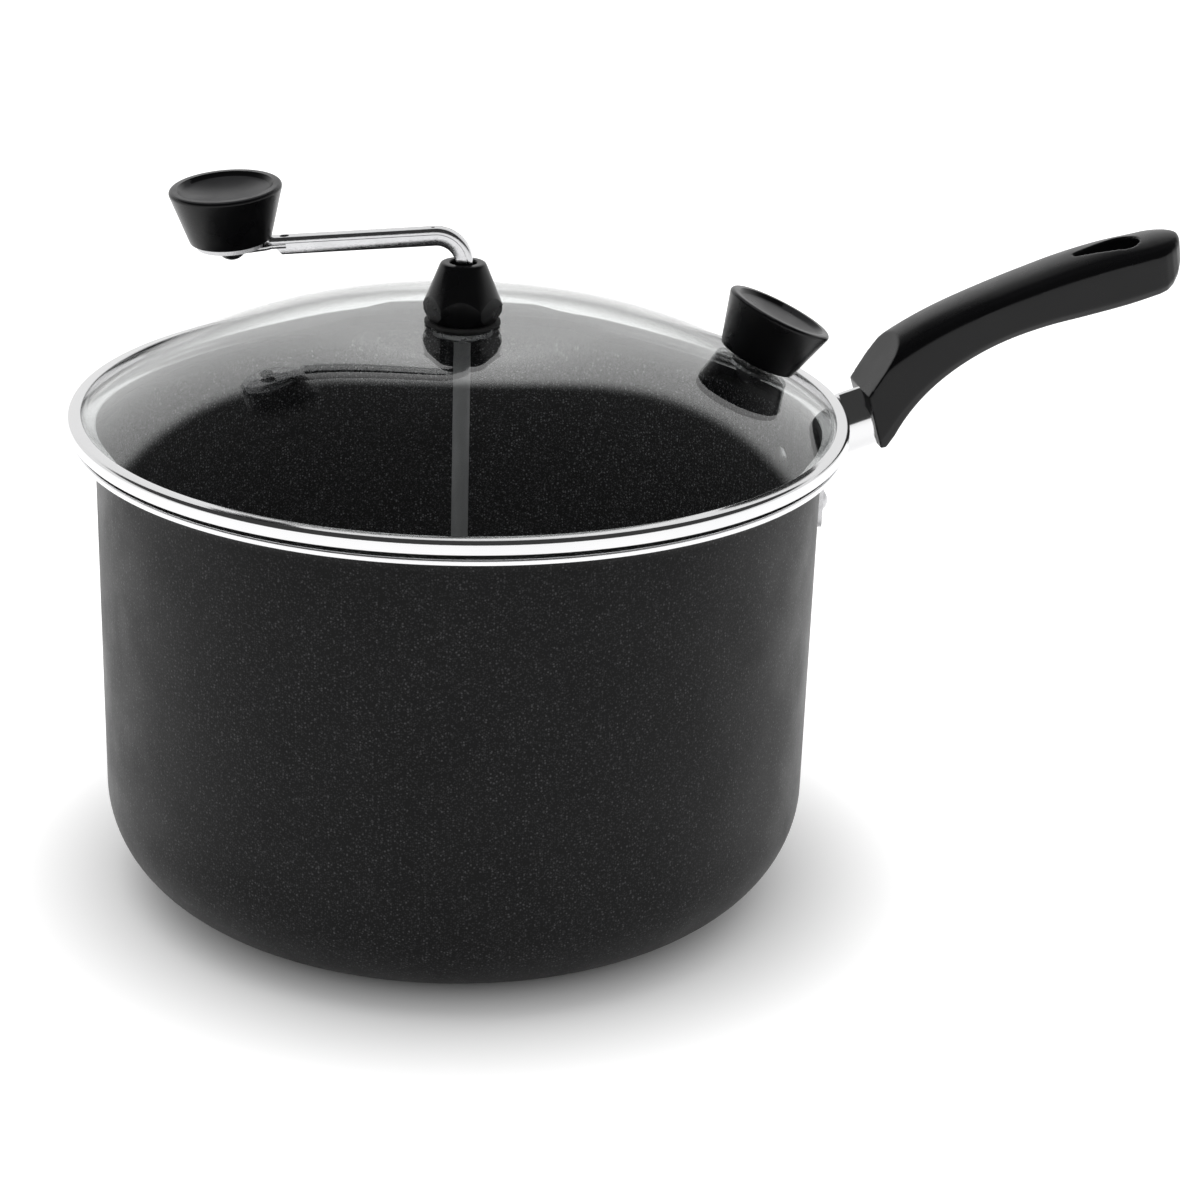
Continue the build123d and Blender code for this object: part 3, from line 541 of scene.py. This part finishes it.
def pot_shell():
    """The spun pot: ringed base, round corner, drafted wall and a lip turned out to a bare edge."""
    wall = 2.2 * MM
    floor = 3.0 * MM
    corner_r = 35.0 * MM
    lip_bend_r = 5.3 * MM
    edge_round = 0.7 * MM
    top_r = lip_r - 7.5 * MM
    low_r = top_r - 0.6 * MM
    bend_z = pot_height - wall - lip_bend_r
    bend_x = top_r + lip_bend_r
    groove_first = 22.0 * MM
    groove_step = 16.0 * MM
    groove_half = 0.9 * MM
    groove_floor = groove_half * 0.7
    groove_deep = 0.4 * MM
    groove_count = 4
    points = [(0.0, 0.0)]
    for ring in range(groove_count):
        middle = groove_first + ring * groove_step
        points += [(middle - groove_half, 0.0), (middle - groove_floor, groove_deep)]
        points += [(middle + groove_floor, groove_deep), (middle + groove_half, 0.0)]
    points += arc((low_r - corner_r, corner_r), corner_r, -90, 0, 28)
    points += arc((bend_x, bend_z), lip_bend_r, 180, 90, 10)
    points += arc((lip_r - edge_round, pot_height - wall + edge_round), edge_round, -90, 0, 4)
    points += arc((lip_r - edge_round, pot_height - edge_round), edge_round, 0, 90, 4)
    points += arc((bend_x, bend_z), lip_bend_r + wall, 90, 180, 12)
    points += arc((low_r - corner_r, corner_r), corner_r - wall, 0, -90, 24)[:-1]
    points += [(low_r - corner_r, floor), (0.0, floor)]
    pot = spin_piece(drawn_outline("pot_shell", points))
    dress(pot, coat, "pot")
    inside_r = low_r - wall + 0.8 * MM

    def is_inside(middle, normal):
        within = math.hypot(middle.x, middle.y) < inside_r and middle.z > floor - 0.5 * MM
        return within and middle.x * normal.x + middle.y * normal.y <= 0.001 * MM

    def is_bare_lip(middle, normal):
        return math.hypot(middle.x, middle.y) > lip_r - 0.5 * MM

    def is_base(middle, normal):
        return middle.z < 0.6 * MM and normal.z < 0.5

    # Inside faces take the lighter copy of the coat: painted light inside the pot.
    finish_faces(pot, inside_coat_painted_lighter, is_inside)
    finish_faces(pot, aluminium, is_bare_lip)
    finish_faces(pot, aluminium, is_base)
    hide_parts("pot_body")


# ------------------------------------------------------------------ lid

dome_rise = 31.2 * MM
flat_r = 35.0 * MM
dome_r = ((glass_r - flat_r) ** 2 + dome_rise ** 2) / (2 * dome_rise)
dome_centre = glass_top - dome_r


def dome_z(radius, ball_r):
    """Height of a glass face with that curve at a radius outside its flat middle."""
    return dome_centre + math.sqrt(ball_r ** 2 - (radius - flat_r) ** 2)


def glass_dome():
    """Clear pressed dome with a flat middle for the hub and a ground edge inside the rim."""
    thick = 4.0 * MM
    hole_r = 5.3 * MM
    inside = dome_r - thick
    foot = glass_low.z
    cuts = 36
    reach = flat_r + math.sqrt(inside ** 2 - (foot - dome_centre) ** 2)
    points = [(hole_r, glass_top)]
    for cut in range(cuts + 1):
        radius = flat_r + (glass_r - flat_r) * cut / cuts
        points.append((radius, dome_z(radius, dome_r)))
    points.append((glass_r, foot))
    for cut in range(cuts + 1):
        radius = reach + (flat_r - reach) * cut / cuts
        points.append((radius, dome_z(radius, inside)))
    points.append((hole_r, glass_top - thick))
    dome = spin_piece(drawn_outline("glass_dome", points), sharp=40)
    dress(dome, lid_glass, "lid")
    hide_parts("glass_lid")


def rolled_rim():
    """Steel band rolled over the edge of the glass, with a curl that drops inside the pot's lip."""
    sheet = 0.8 * MM
    lip_in = rim_r - 4.3 * MM
    crest = rim_high.z
    lip_fall = 0.25 * MM
    shoulder_r = 1.2 * MM
    edge_low = pot_height + 1.45 * MM
    hem = 0.55 * MM
    seat_r = rim_r - 3.7 * MM
    curl_r = -rim_low.x - 9.5 * MM
    shelf = pot_height + sheet
    points = [(lip_in, crest - sheet), (lip_in, crest - 0.3 * MM)]
    points += arc((lip_in + 0.3 * MM, crest - 0.3 * MM), 0.3 * MM, 150, 90, 3)
    points += arc((rim_r - shoulder_r, crest - lip_fall - shoulder_r), shoulder_r, 86, 0, 8)
    points += arc((rim_r - hem, edge_low + hem), hem, 0, -90, 5)
    points += [(rim_r - sheet, edge_low), (rim_r - sheet, shelf + 1.6 * MM)]
    points += [(seat_r, shelf + 1.2 * MM), (seat_r, pot_height)]
    points += [(curl_r, pot_height), (curl_r, rim_low.z), (curl_r - sheet, rim_low.z)]
    points += arc((curl_r - sheet + hem, shelf - hem), hem, 180, 90, 4)
    points += [(seat_r - sheet, shelf), (seat_r - sheet, shelf + 1.9 * MM)]
    points += [(rim_r - 1.7 * sheet, shelf + 2.3 * MM), (rim_r - 1.7 * sheet, crest - 1.7 * MM)]
    rim = spin_piece(drawn_outline("rolled_rim", points), sharp=40)
    dress(rim, steel, "lid")
    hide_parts("lid_rim")


# ------------------------------------------------------------------ long handle

ferrule_low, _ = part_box("handle_ferrule")
grip_screw_low, grip_screw_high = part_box("handle_screw")

nose_pitch = 56.0
end_pitch = 14.0
pitch_ease = 2.35
spine_start = Vector((ferrule_low.x + 7.6 * MM, 0, pot_height + 0.3 * MM))
spine_length = 110.8 * MM
spine_steps = 240
grip_wide = 27.4 * MM
grip_deep = 19.6 * MM
crown_share = 3.4 / 27.4  # rise of the crowned top, as a share of the width
lean_share = 2.2 / 27.4   # how far each side leans in, as a share of the width
# share of the length, share of the width, share of the depth
grip_sizes = (
    (0.00, 0.89, 1.383),
    (0.19, 0.90, 1.112),
    (0.34, 0.91, 0.959),
    (0.49, 0.927, 0.878),
    (0.63, 0.956, 0.903),
    (0.76, 0.985, 0.980),
    (0.89, 1.00, 1.00),
    (1.00, 0.96, 0.945),
)


def along(distance, pitch):
    """A step in the XZ plane at a pitch in degrees."""
    return distance * Vector((math.cos(math.radians(pitch)), 0, math.sin(math.radians(pitch))))


def spine(share):
    """Point and pitch of the grip's centre line at a share of its length."""
    point = spine_start.copy()
    pitch = nose_pitch
    for count in range(round(share * spine_steps)):
        passed = (count + 0.5) / spine_steps
        pitch = end_pitch + (nose_pitch - end_pitch) * (1 - passed) ** pitch_ease
        point += along(spine_length / spine_steps, pitch)
    return point, pitch


def grip_size(share):
    """Width and depth of the grip at a share of its length, eased between the sizes given."""
    rows = (grip_sizes[0],) + grip_sizes + (grip_sizes[-1],)
    for before, here, there, after in zip(rows, rows[1:], rows[2:], rows[3:]):
        if share <= there[0] and there[0] > here[0]:
            break
    t = (share - here[0]) / (there[0] - here[0])
    sizes = []
    for column in (1, 2):
        gap = there[0] - here[0]
        lean_here = (there[column] - before[column]) / max(there[0] - before[0], gap) * gap
        lean_there = (after[column] - here[column]) / max(after[0] - here[0], gap) * gap
        value = (2 * t**3 - 3 * t**2 + 1) * here[column] + (t**3 - 2 * t**2 + t) * lean_here
        value += (3 * t**2 - 2 * t**3) * there[column] + (t**3 - t**2) * lean_there
        sizes.append(value)
    return sizes[0] * grip_wide, sizes[1] * grip_deep


def grip_stations():
    """Centre, pitch, width and depth of each ring that the grip is extruded through."""
    stub = 9.0 * MM
    round_end = 11.5 * MM
    end_rise = 0.42
    end_angles = (14, 28, 42, 55, 67, 77, 84)
    cuts = 30
    first, pitch = spine(0)
    stations = [(first - along(stub, pitch), pitch, *grip_size(0))]
    for cut in range(cuts + 1):
        point, pitch = spine(cut / cuts)
        stations.append((point, pitch, *grip_size(cut / cuts)))
    wide, deep = grip_size(1)
    for angle in end_angles:
        size = math.cos(math.radians(angle))
        reach = along(round_end * math.sin(math.radians(angle)), pitch)
        rise = along((1 - size) * deep * end_rise, pitch + 90)
        stations.append((point + reach + rise, pitch, wide * size, deep * size))
    return stations


def grip_ring(centre, wide, deep):
    """Section of the grip, upright: crowned top, sides that lean in, round corners."""
    crown = crown_share * wide
    lean = lean_share * wide
    corner = 4.6 * MM
    half = wide / 2
    top = deep / 2
    ring = []
    for cut in range(-6, 7):
        side = cut / 6 * (half - corner * 0.75)
        ring.append((side, top - crown * (side / half) ** 2))
    shoulder = top - crown - corner * 0.55
    side_drop = corner * 0.9 - deep + crown
    ring += [(half - corner * 0.28, top - crown * 0.98), (half - corner * 0.02, shoulder)]
    for cut in range(1, 6):
        share = cut / 6
        ring.append((half - lean * share, shoulder + side_drop * share))
    ring += [(half - lean - corner * 0.25, -top + corner * 0.28), (half - lean - corner, -top)]
    ring += [(0.33 * half, -top), (0, -top), (-0.33 * half, -top)]
    left = [(-side, height) for side, height in ring[13:22]]
    ring += left[::-1]
    return [(centre.x, centre.y + side, centre.z + height) for side, height in ring]


def pivot(degrees, centre):
    """Turn what is selected about the Y axis; a rise is positive."""
    bpy.ops.transform.rotate(value=math.radians(degrees), orient_axis="Y", center_override=centre)


def moulded_grip():
    """The handle: rings extruded along the rising spine, with a cut nose and a hole for a hook."""
    stations = grip_stations()
    centre, pitch, wide, deep = stations[0]
    grip = drawn_ring("grip", grip_ring(centre, wide, deep))
    bpy.ops.object.mode_set(mode="EDIT")
    bpy.ops.mesh.select_mode(type="VERT")
    bpy.ops.mesh.select_all(action="SELECT")
    pivot(pitch, centre)
    bpy.ops.mesh.edge_face_add()
    bpy.ops.mesh.select_all(action="SELECT")
    for place, next_pitch, next_wide, next_deep in stations[1:]:
        bpy.ops.mesh.extrude_region_move(TRANSFORM_OT_translate={"value": place - centre})
        pivot(-pitch, place)
        size = (1, next_wide / wide, next_deep / deep)
        bpy.ops.transform.resize(value=size, center_override=place)
        pivot(next_pitch, place)
        centre, pitch, wide, deep = place, next_pitch, next_wide, next_deep
    bpy.ops.mesh.select_all(action="SELECT")
    bpy.ops.mesh.normals_make_consistent(inside=False)
    bpy.ops.object.mode_set(mode="OBJECT")
    shape_nose(grip)
    drill_grip(grip)
    soften_moulding(grip, 0.5 * MM, 5)
    dress(grip, black_plastic, "pot")
    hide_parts("long_handle")


def shape_nose(grip):
    """Two front faces, one square to the ferrule and one sloping up from it, and a blunt foot."""
    ferrule_pitch = 18.0
    slope = 58.5
    ferrule_deep = 21.0 * MM
    ferrule_shows = 10.8 * MM
    axis_drop = 5.4 * MM
    foot_drop = 5.3 * MM
    axis_start = Vector((ferrule_low.x, 0, pot_height - axis_drop))
    corner = axis_start + along(ferrule_shows, ferrule_pitch)
    corner = corner + along(ferrule_deep / 2, ferrule_pitch + 90)
    slice_off(grip, corner, along(-1, ferrule_pitch))
    slice_off(grip, corner, along(1, slope + 90))
    slice_off(grip, axis_start - Vector((0, 0, foot_drop)), (0, 0, -1))


def drill_grip(grip):
    """Teardrop hole for hanging and the pocket of the screw from below."""
    far_r = 6.1 * MM
    near_r = 1.6 * MM
    apart = 15.2 * MM
    hole_share = 0.93
    pocket_r = 4.2 * MM
    pocket_deep = 20 * MM
    screw_pitch = 48
    point, pitch = spine(hole_share)
    drop = peg(far_r, 2 * grip_deep, point, (0, -pitch, 0), 64)
    near = point - along(apart, pitch)
    tip = peg(near_r, 2 * grip_deep, near, (0, -pitch, 0), 32)
    drop.select_set(True)
    bpy.context.view_layer.objects.active = drop
    tip.select_set(True)
    bpy.ops.object.join()
    bpy.ops.object.mode_set(mode="EDIT")
    bpy.ops.mesh.select_all(action="SELECT")
    bpy.ops.mesh.convex_hull()
    bpy.ops.object.mode_set(mode="OBJECT")
    drill(grip, drop)
    head = (grip_screw_low + grip_screw_high) / 2
    down = along(1, screw_pitch - 90)
    pocket = peg(pocket_r, pocket_deep, head + pocket_deep / 2 * down, (0, screw_pitch, 0))
    drill(grip, pocket)


# ------------------------------------------------------------------ hub and crank

def moulded_hub():
    """The cone on the lid, six flats cut round its foot, hollow at the mouth."""
    foot_r = 10.9 * MM
    wide_r = 13.2 * MM
    wide_up = 4.5 * MM
    top_r = 7.2 * MM
    mouth_r = 4.35 * MM
    mouth_deep = 5.3 * MM
    flat_out = 12.3 * MM * math.cos(math.radians(30))
    flat_lean = 5.0
    first_flat = 18
    low = hub_low.z
    high = hub_high.z
    points = [(0, low), (foot_r - 0.6 * MM, low), (foot_r, low + 0.4 * MM)]
    points += [(wide_r - 0.25 * MM, low + wide_up - 0.8 * MM), (wide_r, low + wide_up)]
    points += [(wide_r - 0.3 * MM, low + wide_up + 0.8 * MM)]
    points += [(top_r + 0.35 * MM, high - 0.8 * MM), (top_r - 0.1 * MM, high - 0.2 * MM)]
    points += [(top_r - 0.8 * MM, high), (mouth_r + 0.3 * MM, high), (mouth_r, high - 0.3 * MM)]
    points += [(mouth_r, high - mouth_deep), (0, high - mouth_deep)]
    hub = spin_piece(drawn_outline("hub", points), steps=192)
    lean = math.radians(flat_lean)
    for side in range(6):
        turn = math.radians(first_flat + 60 * side)
        away = Vector((math.cos(turn), math.sin(turn), 0))
        outward = away * math.cos(lean) - Vector((0, 0, math.sin(lean)))
        slice_off(hub, away * flat_out + Vector((0, 0, low)), outward)
    take(hub)
    wear_and_painted_sheen = hub.modifiers.new("worn_edges", "BEVEL")
    wear_and_painted_sheen.width = 0.3 * MM
    wear_and_painted_sheen.segments = 2
    wear_and_painted_sheen.limit_method = "ANGLE"
    wear_and_painted_sheen.angle_limit = math.radians(14)
    bpy.ops.object.modifier_apply(modifier=wear_and_painted_sheen.name)
    settle(hub, sharp=30)
    dress(hub, black_plastic, "lid")
    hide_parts("hub_nut")


arm_z = glass_top + 28.8 * MM
arm_droop = 4.8
arm_bend_r = 8.5 * MM
arm_length = 62.5 * MM
crank_turn = 170.0


def crank_bar():
    """Crank folded from sheet: flat top, two deep sides, a seam along one; bent over at the top."""
    half = 2.6 * MM
    top = 3.1 * MM
    foot = 2.5 * MM
    corner = 0.7 * MM
    blunt = 0.2 * MM
    seam_from = 1.15 * MM
    seam_to = 1.6 * MM
    seam_in = 0.55 * MM
    start_z = hub_high.z - 4.6 * MM
    hidden_end = 4 * MM
    end_slant = 40
    hole_back = 5.5 * MM
    dimple_out = 9.6 * MM
    turn_up = 90 + arm_droop
    reach = arm_bend_r * math.tan(math.radians(turn_up / 2))
    bend_z = arm_z - reach
    ring = [(-top, half - corner), (-top + blunt, half - blunt), (-top + corner, half)]
    ring += [(-seam_to, half), (-seam_to + 0.1 * MM, half - seam_in)]
    ring += [(-seam_from - 0.1 * MM, half - seam_in), (-seam_from, half)]
    ring += [(foot - corner, half), (foot - blunt, half - blunt), (foot, half - corner)]
    ring += [(foot, -half + corner), (foot - blunt, -half + blunt), (foot - corner, -half)]
    ring += [(-top + corner, -half), (-top + blunt, -half + blunt), (-top, -half + corner)]
    bar = drawn_ring("crank_bar", [(x, y, start_z) for x, y in ring])
    bpy.ops.object.mode_set(mode="EDIT")
    bpy.ops.mesh.select_mode(type="VERT")
    bpy.ops.mesh.select_all(action="SELECT")
    bpy.ops.mesh.edge_face_add()
    bpy.ops.mesh.select_all(action="SELECT")
    bpy.ops.mesh.extrude_region_move(TRANSFORM_OT_translate={"value": (0, 0, bend_z - start_z)})
    bpy.ops.mesh.spin(
        steps=18, angle=-math.radians(turn_up), center=(arm_bend_r, 0, bend_z), axis=(0, 1, 0)
    )
    straight = along(arm_length + hidden_end - reach, -arm_droop)
    bpy.ops.mesh.extrude_region_move(TRANSFORM_OT_translate={"value": straight})
    bpy.ops.mesh.select_all(action="SELECT")
    bpy.ops.mesh.remove_doubles(threshold=MERGE)
    bpy.ops.mesh.normals_make_consistent(inside=False)
    bpy.ops.object.mode_set(mode="OBJECT")
    arm_top = Vector((0, 0, arm_z)) + along(top, 90 - arm_droop)
    slice_off(bar, arm_top + along(arm_length, -arm_droop), along(1, -arm_droop - end_slant))
    hole = arm_top + along(arm_length - hole_back, -arm_droop)
    drill(bar, peg(1.5 * MM, 3.0 * MM, hole, (0, arm_droop, 0)))
    dimple = arm_top + along(dimple_out, -arm_droop)
    drill(bar, peg(0.6 * MM, 1.2 * MM, dimple, (0, arm_droop, 0), 24))
    tab = crank_tab()
    take(tab)
    bar.select_set(True)
    bpy.context.view_layer.objects.active = bar
    bpy.ops.object.join()
    bar.rotation_euler = (0, 0, math.radians(crank_turn))
    settle(bar, sharp=24)
    dress(bar, crank_steel, "crank")
    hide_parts("crank_rod")


def crank_tab():
    """Flat tab at the arm's end that carries the knob, leaning a little about the arm."""
    sheet = 1.4 * MM
    top = 1.2 * MM
    knob_at = arm_length + 11.5 * MM
    neck = 2.7 * MM
    strap = 3.8 * MM
    eye_r = 6.6 * MM
    root = arm_length - 6 * MM
    flare = arm_length - 1.5 * MM
    knob_lean = 4
    points = [(root, neck, 0), (flare, neck, 0), (arm_length, strap, 0)]
    for angle in range(110, -111, -10):
        turn = math.radians(angle)
        points.append((knob_at + eye_r * math.cos(turn), eye_r * math.sin(turn), 0))
    points += [(arm_length, -strap, 0), (flare, -neck, 0), (root, -neck, 0)]
    tab = drawn_ring("crank_tab", points)
    bpy.ops.object.mode_set(mode="EDIT")
    bpy.ops.mesh.select_all(action="SELECT")
    bpy.ops.mesh.edge_face_add()
    bpy.ops.mesh.select_all(action="SELECT")
    bpy.ops.mesh.extrude_region_move(TRANSFORM_OT_translate={"value": (0, 0, sheet)})
    bpy.ops.mesh.select_all(action="SELECT")
    bpy.ops.mesh.normals_make_consistent(inside=False)
    bpy.ops.transform.translate(value=(0, 0, top - sheet))
    bpy.ops.object.mode_set(mode="OBJECT")
    tab.matrix_world = (
        Matrix.Translation((0, 0, arm_z))
        @ Matrix.Rotation(math.radians(arm_droop), 4, "Y")
        @ Matrix.Rotation(math.radians(-knob_lean), 4, "X")
    )
    take(tab)
    bpy.ops.object.transform_apply(location=True, rotation=True, scale=True)
    soft = tab.modifiers.new("soft_edge", "BEVEL")
    soft.width = 0.2 * MM
    soft.segments = 2
    soft.limit_method = "ANGLE"
    bpy.ops.object.modifier_apply(modifier=soft.name)
    return tab


def lower_shaft():
    """The round shaft from the hub's mouth down through the lid to the stirrer."""
    below_mouth = 4.4 * MM
    shaft = mended_copy("crank_rod", "shaft")
    slice_off(shaft, (0, 0, hub_high.z - below_mouth), (0, 0, 1))
    settle(shaft)
    dress(shaft, dull_steel, "crank")
    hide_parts("crank_rod")


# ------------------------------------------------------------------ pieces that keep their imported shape

kept_shapes = {
    "handle_bracket": ("bracket", screw_steel, "bright_steel"),
    "bracket_rivets": ("rivets", screw_steel, "bright_steel"),
    "handle_ferrule": ("ferrule", steel, "bright_steel"),
    "handle_screw": ("grip_screw", screw_steel, "plain_steel"),
    "hub_bushing": ("bushing", screw_steel, "plain_steel"),
    "hub_seal_upper": ("hub_seal", rubber, "black_seal"),
    "hub_seal_lower": ("bushing_seal", rubber, "black_seal"),
    "lid_knob": ("lid_grip", black_plastic, "black_bakelite"),
    "lid_knob_insert": ("lid_grip_thread", brass, "brass_insert"),
    "lid_knob_seal_upper": ("lid_grip_seal", rubber, "black_seal"),
    "lid_knob_seal_lower": ("lid_grip_under_seal", rubber, "black_seal"),
    "lid_knob_washer": ("lid_grip_washer", screw_steel, "plain_steel"),
    "lid_knob_screw": ("lid_grip_screw", screw_steel, "plain_steel"),
    "stop_collar": ("shaft_collar", screw_steel, "plain_steel"),
    "thrust_washer": ("shaft_washer", screw_steel, "plain_steel"),
    "retaining_clip": ("shaft_clip", screw_steel, "plain_steel"),
    "stirrer_hub": ("stirrer_block", screw_steel, "plain_steel"),
    "stirrer_grub_screw": ("stirrer_screw", screw_steel, "plain_steel"),
    "stirrer_wire_lower": ("stirrer_low_wire", screw_steel, "plain_steel"),
    "stirrer_wire_upper": ("stirrer_high_wire", screw_steel, "plain_steel"),
    "crank_knob": ("crank_grip", black_plastic, "black_bakelite"),
    "crank_knob_insert": ("crank_grip_thread", brass, "brass_insert"),
    "crank_knob_washer": ("crank_grip_washer", screw_steel, "plain_steel"),
    "crank_knob_screw": ("crank_grip_screw", steel, "bright_steel"),
}

for node, (name, finish, slot) in kept_shapes.items():
    piece = mended_copy(node, name)
    dress(piece, finish, frame["nodes"][node]["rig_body"])
    # Upward faces of the knobs get the painted sheen: a lighter grey where their tops face the light.
    if name in ("lid_grip", "crank_grip"):
        finish_faces(piece, painted_sheen_plastic, lambda middle, normal: normal.z > 0.72)
    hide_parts(node)

pot_shell()
glass_dome()
rolled_rim()
moulded_grip()
moulded_hub()
lower_shaft()
crank_bar()


# ------------------------------------------------------------------ studio

def white_floor():
    """Pale floor that keeps the pot's shadow and burns out to white away from it; its glow is held back
    within 8.8 cm of the pot's centre and fades in by 16.5 cm, a painted shade round the pot's foot.
    """
    floor_r = 6.0
    below_pot = (0, 0, -0.2 * MM)
    burn_from = 0.088
    burn_full = 0.165
    burn_r = 0.70
    put_down_everything()
    bpy.ops.mesh.primitive_circle_add(
        vertices=96, radius=floor_r, fill_type="NGON", location=below_pot
    )
    floor = bpy.context.object
    floor.name = "studio_floor"
    paint = Finish("studio_floor", (0.86, 0.86, 0.86), roughness=0.9)
    paint.set("Specular IOR Level", 0.0)
    glow = paint.nodes.new("ShaderNodeEmission")
    glow.inputs["Color"].default_value = (1, 1, 1, 1)
    path = paint.nodes.new("ShaderNodeLightPath")
    seen = paint.math("ADD", path.outputs["Is Camera Ray"], path.outputs["Is Transmission Ray"])
    seen = paint.math("ADD", seen, path.outputs["Is Glossy Ray"], clamp=True)
    split = paint.nodes.new("ShaderNodeSeparateXYZ")
    paint.links.new(paint.place, split.inputs[0])
    across = paint.math("MULTIPLY", split.outputs[0], split.outputs[0])
    endways = paint.math("MULTIPLY", split.outputs[1], split.outputs[1])
    away = paint.math("SQRT", paint.math("ADD", across, endways))
    # Painted shade: no glow within 8.8 cm of the pot's centre, full glow from 16.5 cm out.
    glow_past_painted_shade = paint.spread(away, 0.0, burn_r, burn_from, burn_full)
    paint.links.new(paint.math("MULTIPLY", seen, glow_past_painted_shade), glow.inputs["Strength"])
    both = paint.nodes.new("ShaderNodeAddShader")
    paint.links.new(paint.shader.outputs[0], both.inputs[0])
    paint.links.new(glow.outputs[0], both.inputs[1])
    paint.links.new(both.outputs[0], paint.output.inputs["Surface"])
    floor.data.materials.append(paint.material)


def studio_air():
    """White to the eye; reflections see a white backdrop below and a dark ceiling above."""
    world = bpy.data.worlds.new("studio_air")
    bpy.context.scene.world = world
    world.use_nodes = True
    nodes = world.node_tree.nodes
    links = world.node_tree.links
    nodes.clear()
    output = nodes.new("ShaderNodeOutputWorld")
    path = nodes.new("ShaderNodeLightPath")
    direction = nodes.new("ShaderNodeTexCoord")
    split = nodes.new("ShaderNodeSeparateXYZ")
    links.new(direction.outputs["Generated"], split.inputs[0])
    backdrop_x = 0.208
    backdrop_y = 0.978
    height_fall = 2.6
    side_reach = 0.673
    along_x = nodes.new("ShaderNodeMath")
    along_x.operation = "MULTIPLY_ADD"
    along_x.inputs[1].default_value = backdrop_x
    along_x.inputs[2].default_value = side_reach
    links.new(split.outputs[0], along_x.inputs[0])
    along_y = nodes.new("ShaderNodeMath")
    along_y.operation = "MULTIPLY_ADD"
    along_y.inputs[1].default_value = backdrop_y
    links.new(split.outputs[1], along_y.inputs[0])
    links.new(along_x.outputs[0], along_y.inputs[2])
    below_top = nodes.new("ShaderNodeMath")
    below_top.operation = "MULTIPLY_ADD"
    below_top.inputs[1].default_value = -height_fall
    links.new(split.outputs[2], below_top.inputs[0])
    links.new(along_y.outputs[0], below_top.inputs[2])
    ramp = nodes.new("ShaderNodeMapRange")
    ramp.interpolation_type = "SMOOTHSTEP"
    ramp.inputs["From Min"].default_value = -0.12
    ramp.inputs["From Max"].default_value = 0.10
    ramp.inputs["To Min"].default_value = 0.05
    ramp.inputs["To Max"].default_value = 1.0
    links.new(below_top.outputs[0], ramp.inputs["Value"])
    seen = nodes.new("ShaderNodeBackground")
    seen.inputs["Color"].default_value = (1, 1, 1, 1)
    seen.inputs["Strength"].default_value = 1.0
    mirrored = nodes.new("ShaderNodeBackground")
    mirrored.inputs["Color"].default_value = (1, 1, 1, 1)
    links.new(ramp.outputs[0], mirrored.inputs["Strength"])
    fill = nodes.new("ShaderNodeBackground")
    fill.inputs["Strength"].default_value = 0.62
    mirror = nodes.new("ShaderNodeMath")
    mirror.operation = "MAXIMUM"
    links.new(path.outputs["Is Glossy Ray"], mirror.inputs[0])
    links.new(path.outputs["Is Transmission Ray"], mirror.inputs[1])
    unscattered = nodes.new("ShaderNodeMath")
    unscattered.operation = "LESS_THAN"
    unscattered.inputs[1].default_value = 0.5
    links.new(path.outputs["Diffuse Depth"], unscattered.inputs[0])
    straight = nodes.new("ShaderNodeMath")
    straight.operation = "MULTIPLY"
    links.new(mirror.outputs[0], straight.inputs[0])
    links.new(unscattered.outputs[0], straight.inputs[1])
    glossy = nodes.new("ShaderNodeMixShader")
    links.new(straight.outputs[0], glossy.inputs[0])
    links.new(fill.outputs[0], glossy.inputs[1])
    links.new(mirrored.outputs[0], glossy.inputs[2])
    whole = nodes.new("ShaderNodeMixShader")
    links.new(path.outputs["Is Camera Ray"], whole.inputs[0])
    links.new(glossy.outputs[0], whole.inputs[1])
    links.new(seen.outputs[0], whole.inputs[2])
    links.new(whole.outputs[0], output.inputs["Surface"])


def softbox(name, place, size, power, target=Vector((0, 0, 0.12))):
    """A square studio lamp turned to the pot."""
    lamp = bpy.data.lights.new(name, "AREA")
    lamp.shape = "RECTANGLE"
    lamp.size = size[0]
    lamp.size_y = size[1]
    lamp.energy = power
    stand = bpy.data.objects.new(name, lamp)
    bpy.context.scene.collection.objects.link(stand)
    stand.location = place
    stand.rotation_euler = (target - Vector(place)).to_track_quat("-Z", "Y").to_euler()
    stand.visible_glossy = False
    stand.visible_transmission = False


def photographers_camera():
    """The photograph's view: solved from the pot's outline and the ellipses of its rim."""
    place = Vector((-0.14584, -0.91364, 0.46260))
    looks = Vector((0.19329, 0.90934, -0.36845))
    roll = 1.94
    frame_width = 1200
    focal = 2977
    sensor = 36.0
    camera = bpy.data.cameras.new("photographers_camera")
    camera.sensor_width = sensor
    camera.lens = focal / frame_width * sensor
    camera.clip_start = 0.01
    camera.clip_end = 50
    holder = bpy.data.objects.new("photographers_camera", camera)
    bpy.context.scene.collection.objects.link(holder)
    level = looks.to_track_quat("-Z", "Y").to_matrix().to_4x4()
    rolled = level @ Matrix.Rotation(math.radians(roll), 4, "Z")
    holder.matrix_world = Matrix.Translation(place) @ rolled
    bpy.context.scene.camera = holder


white_floor()
studio_air()
softbox("big_softbox", (-0.35, 0.15, 1.5), (1.2, 1.2), 7.0)
softbox("fill_softbox", (0.9, 0.3, 1.3), (0.9, 0.9), 3.0)
photographers_camera()
bpy.context.scene.view_settings.view_transform = "Standard"
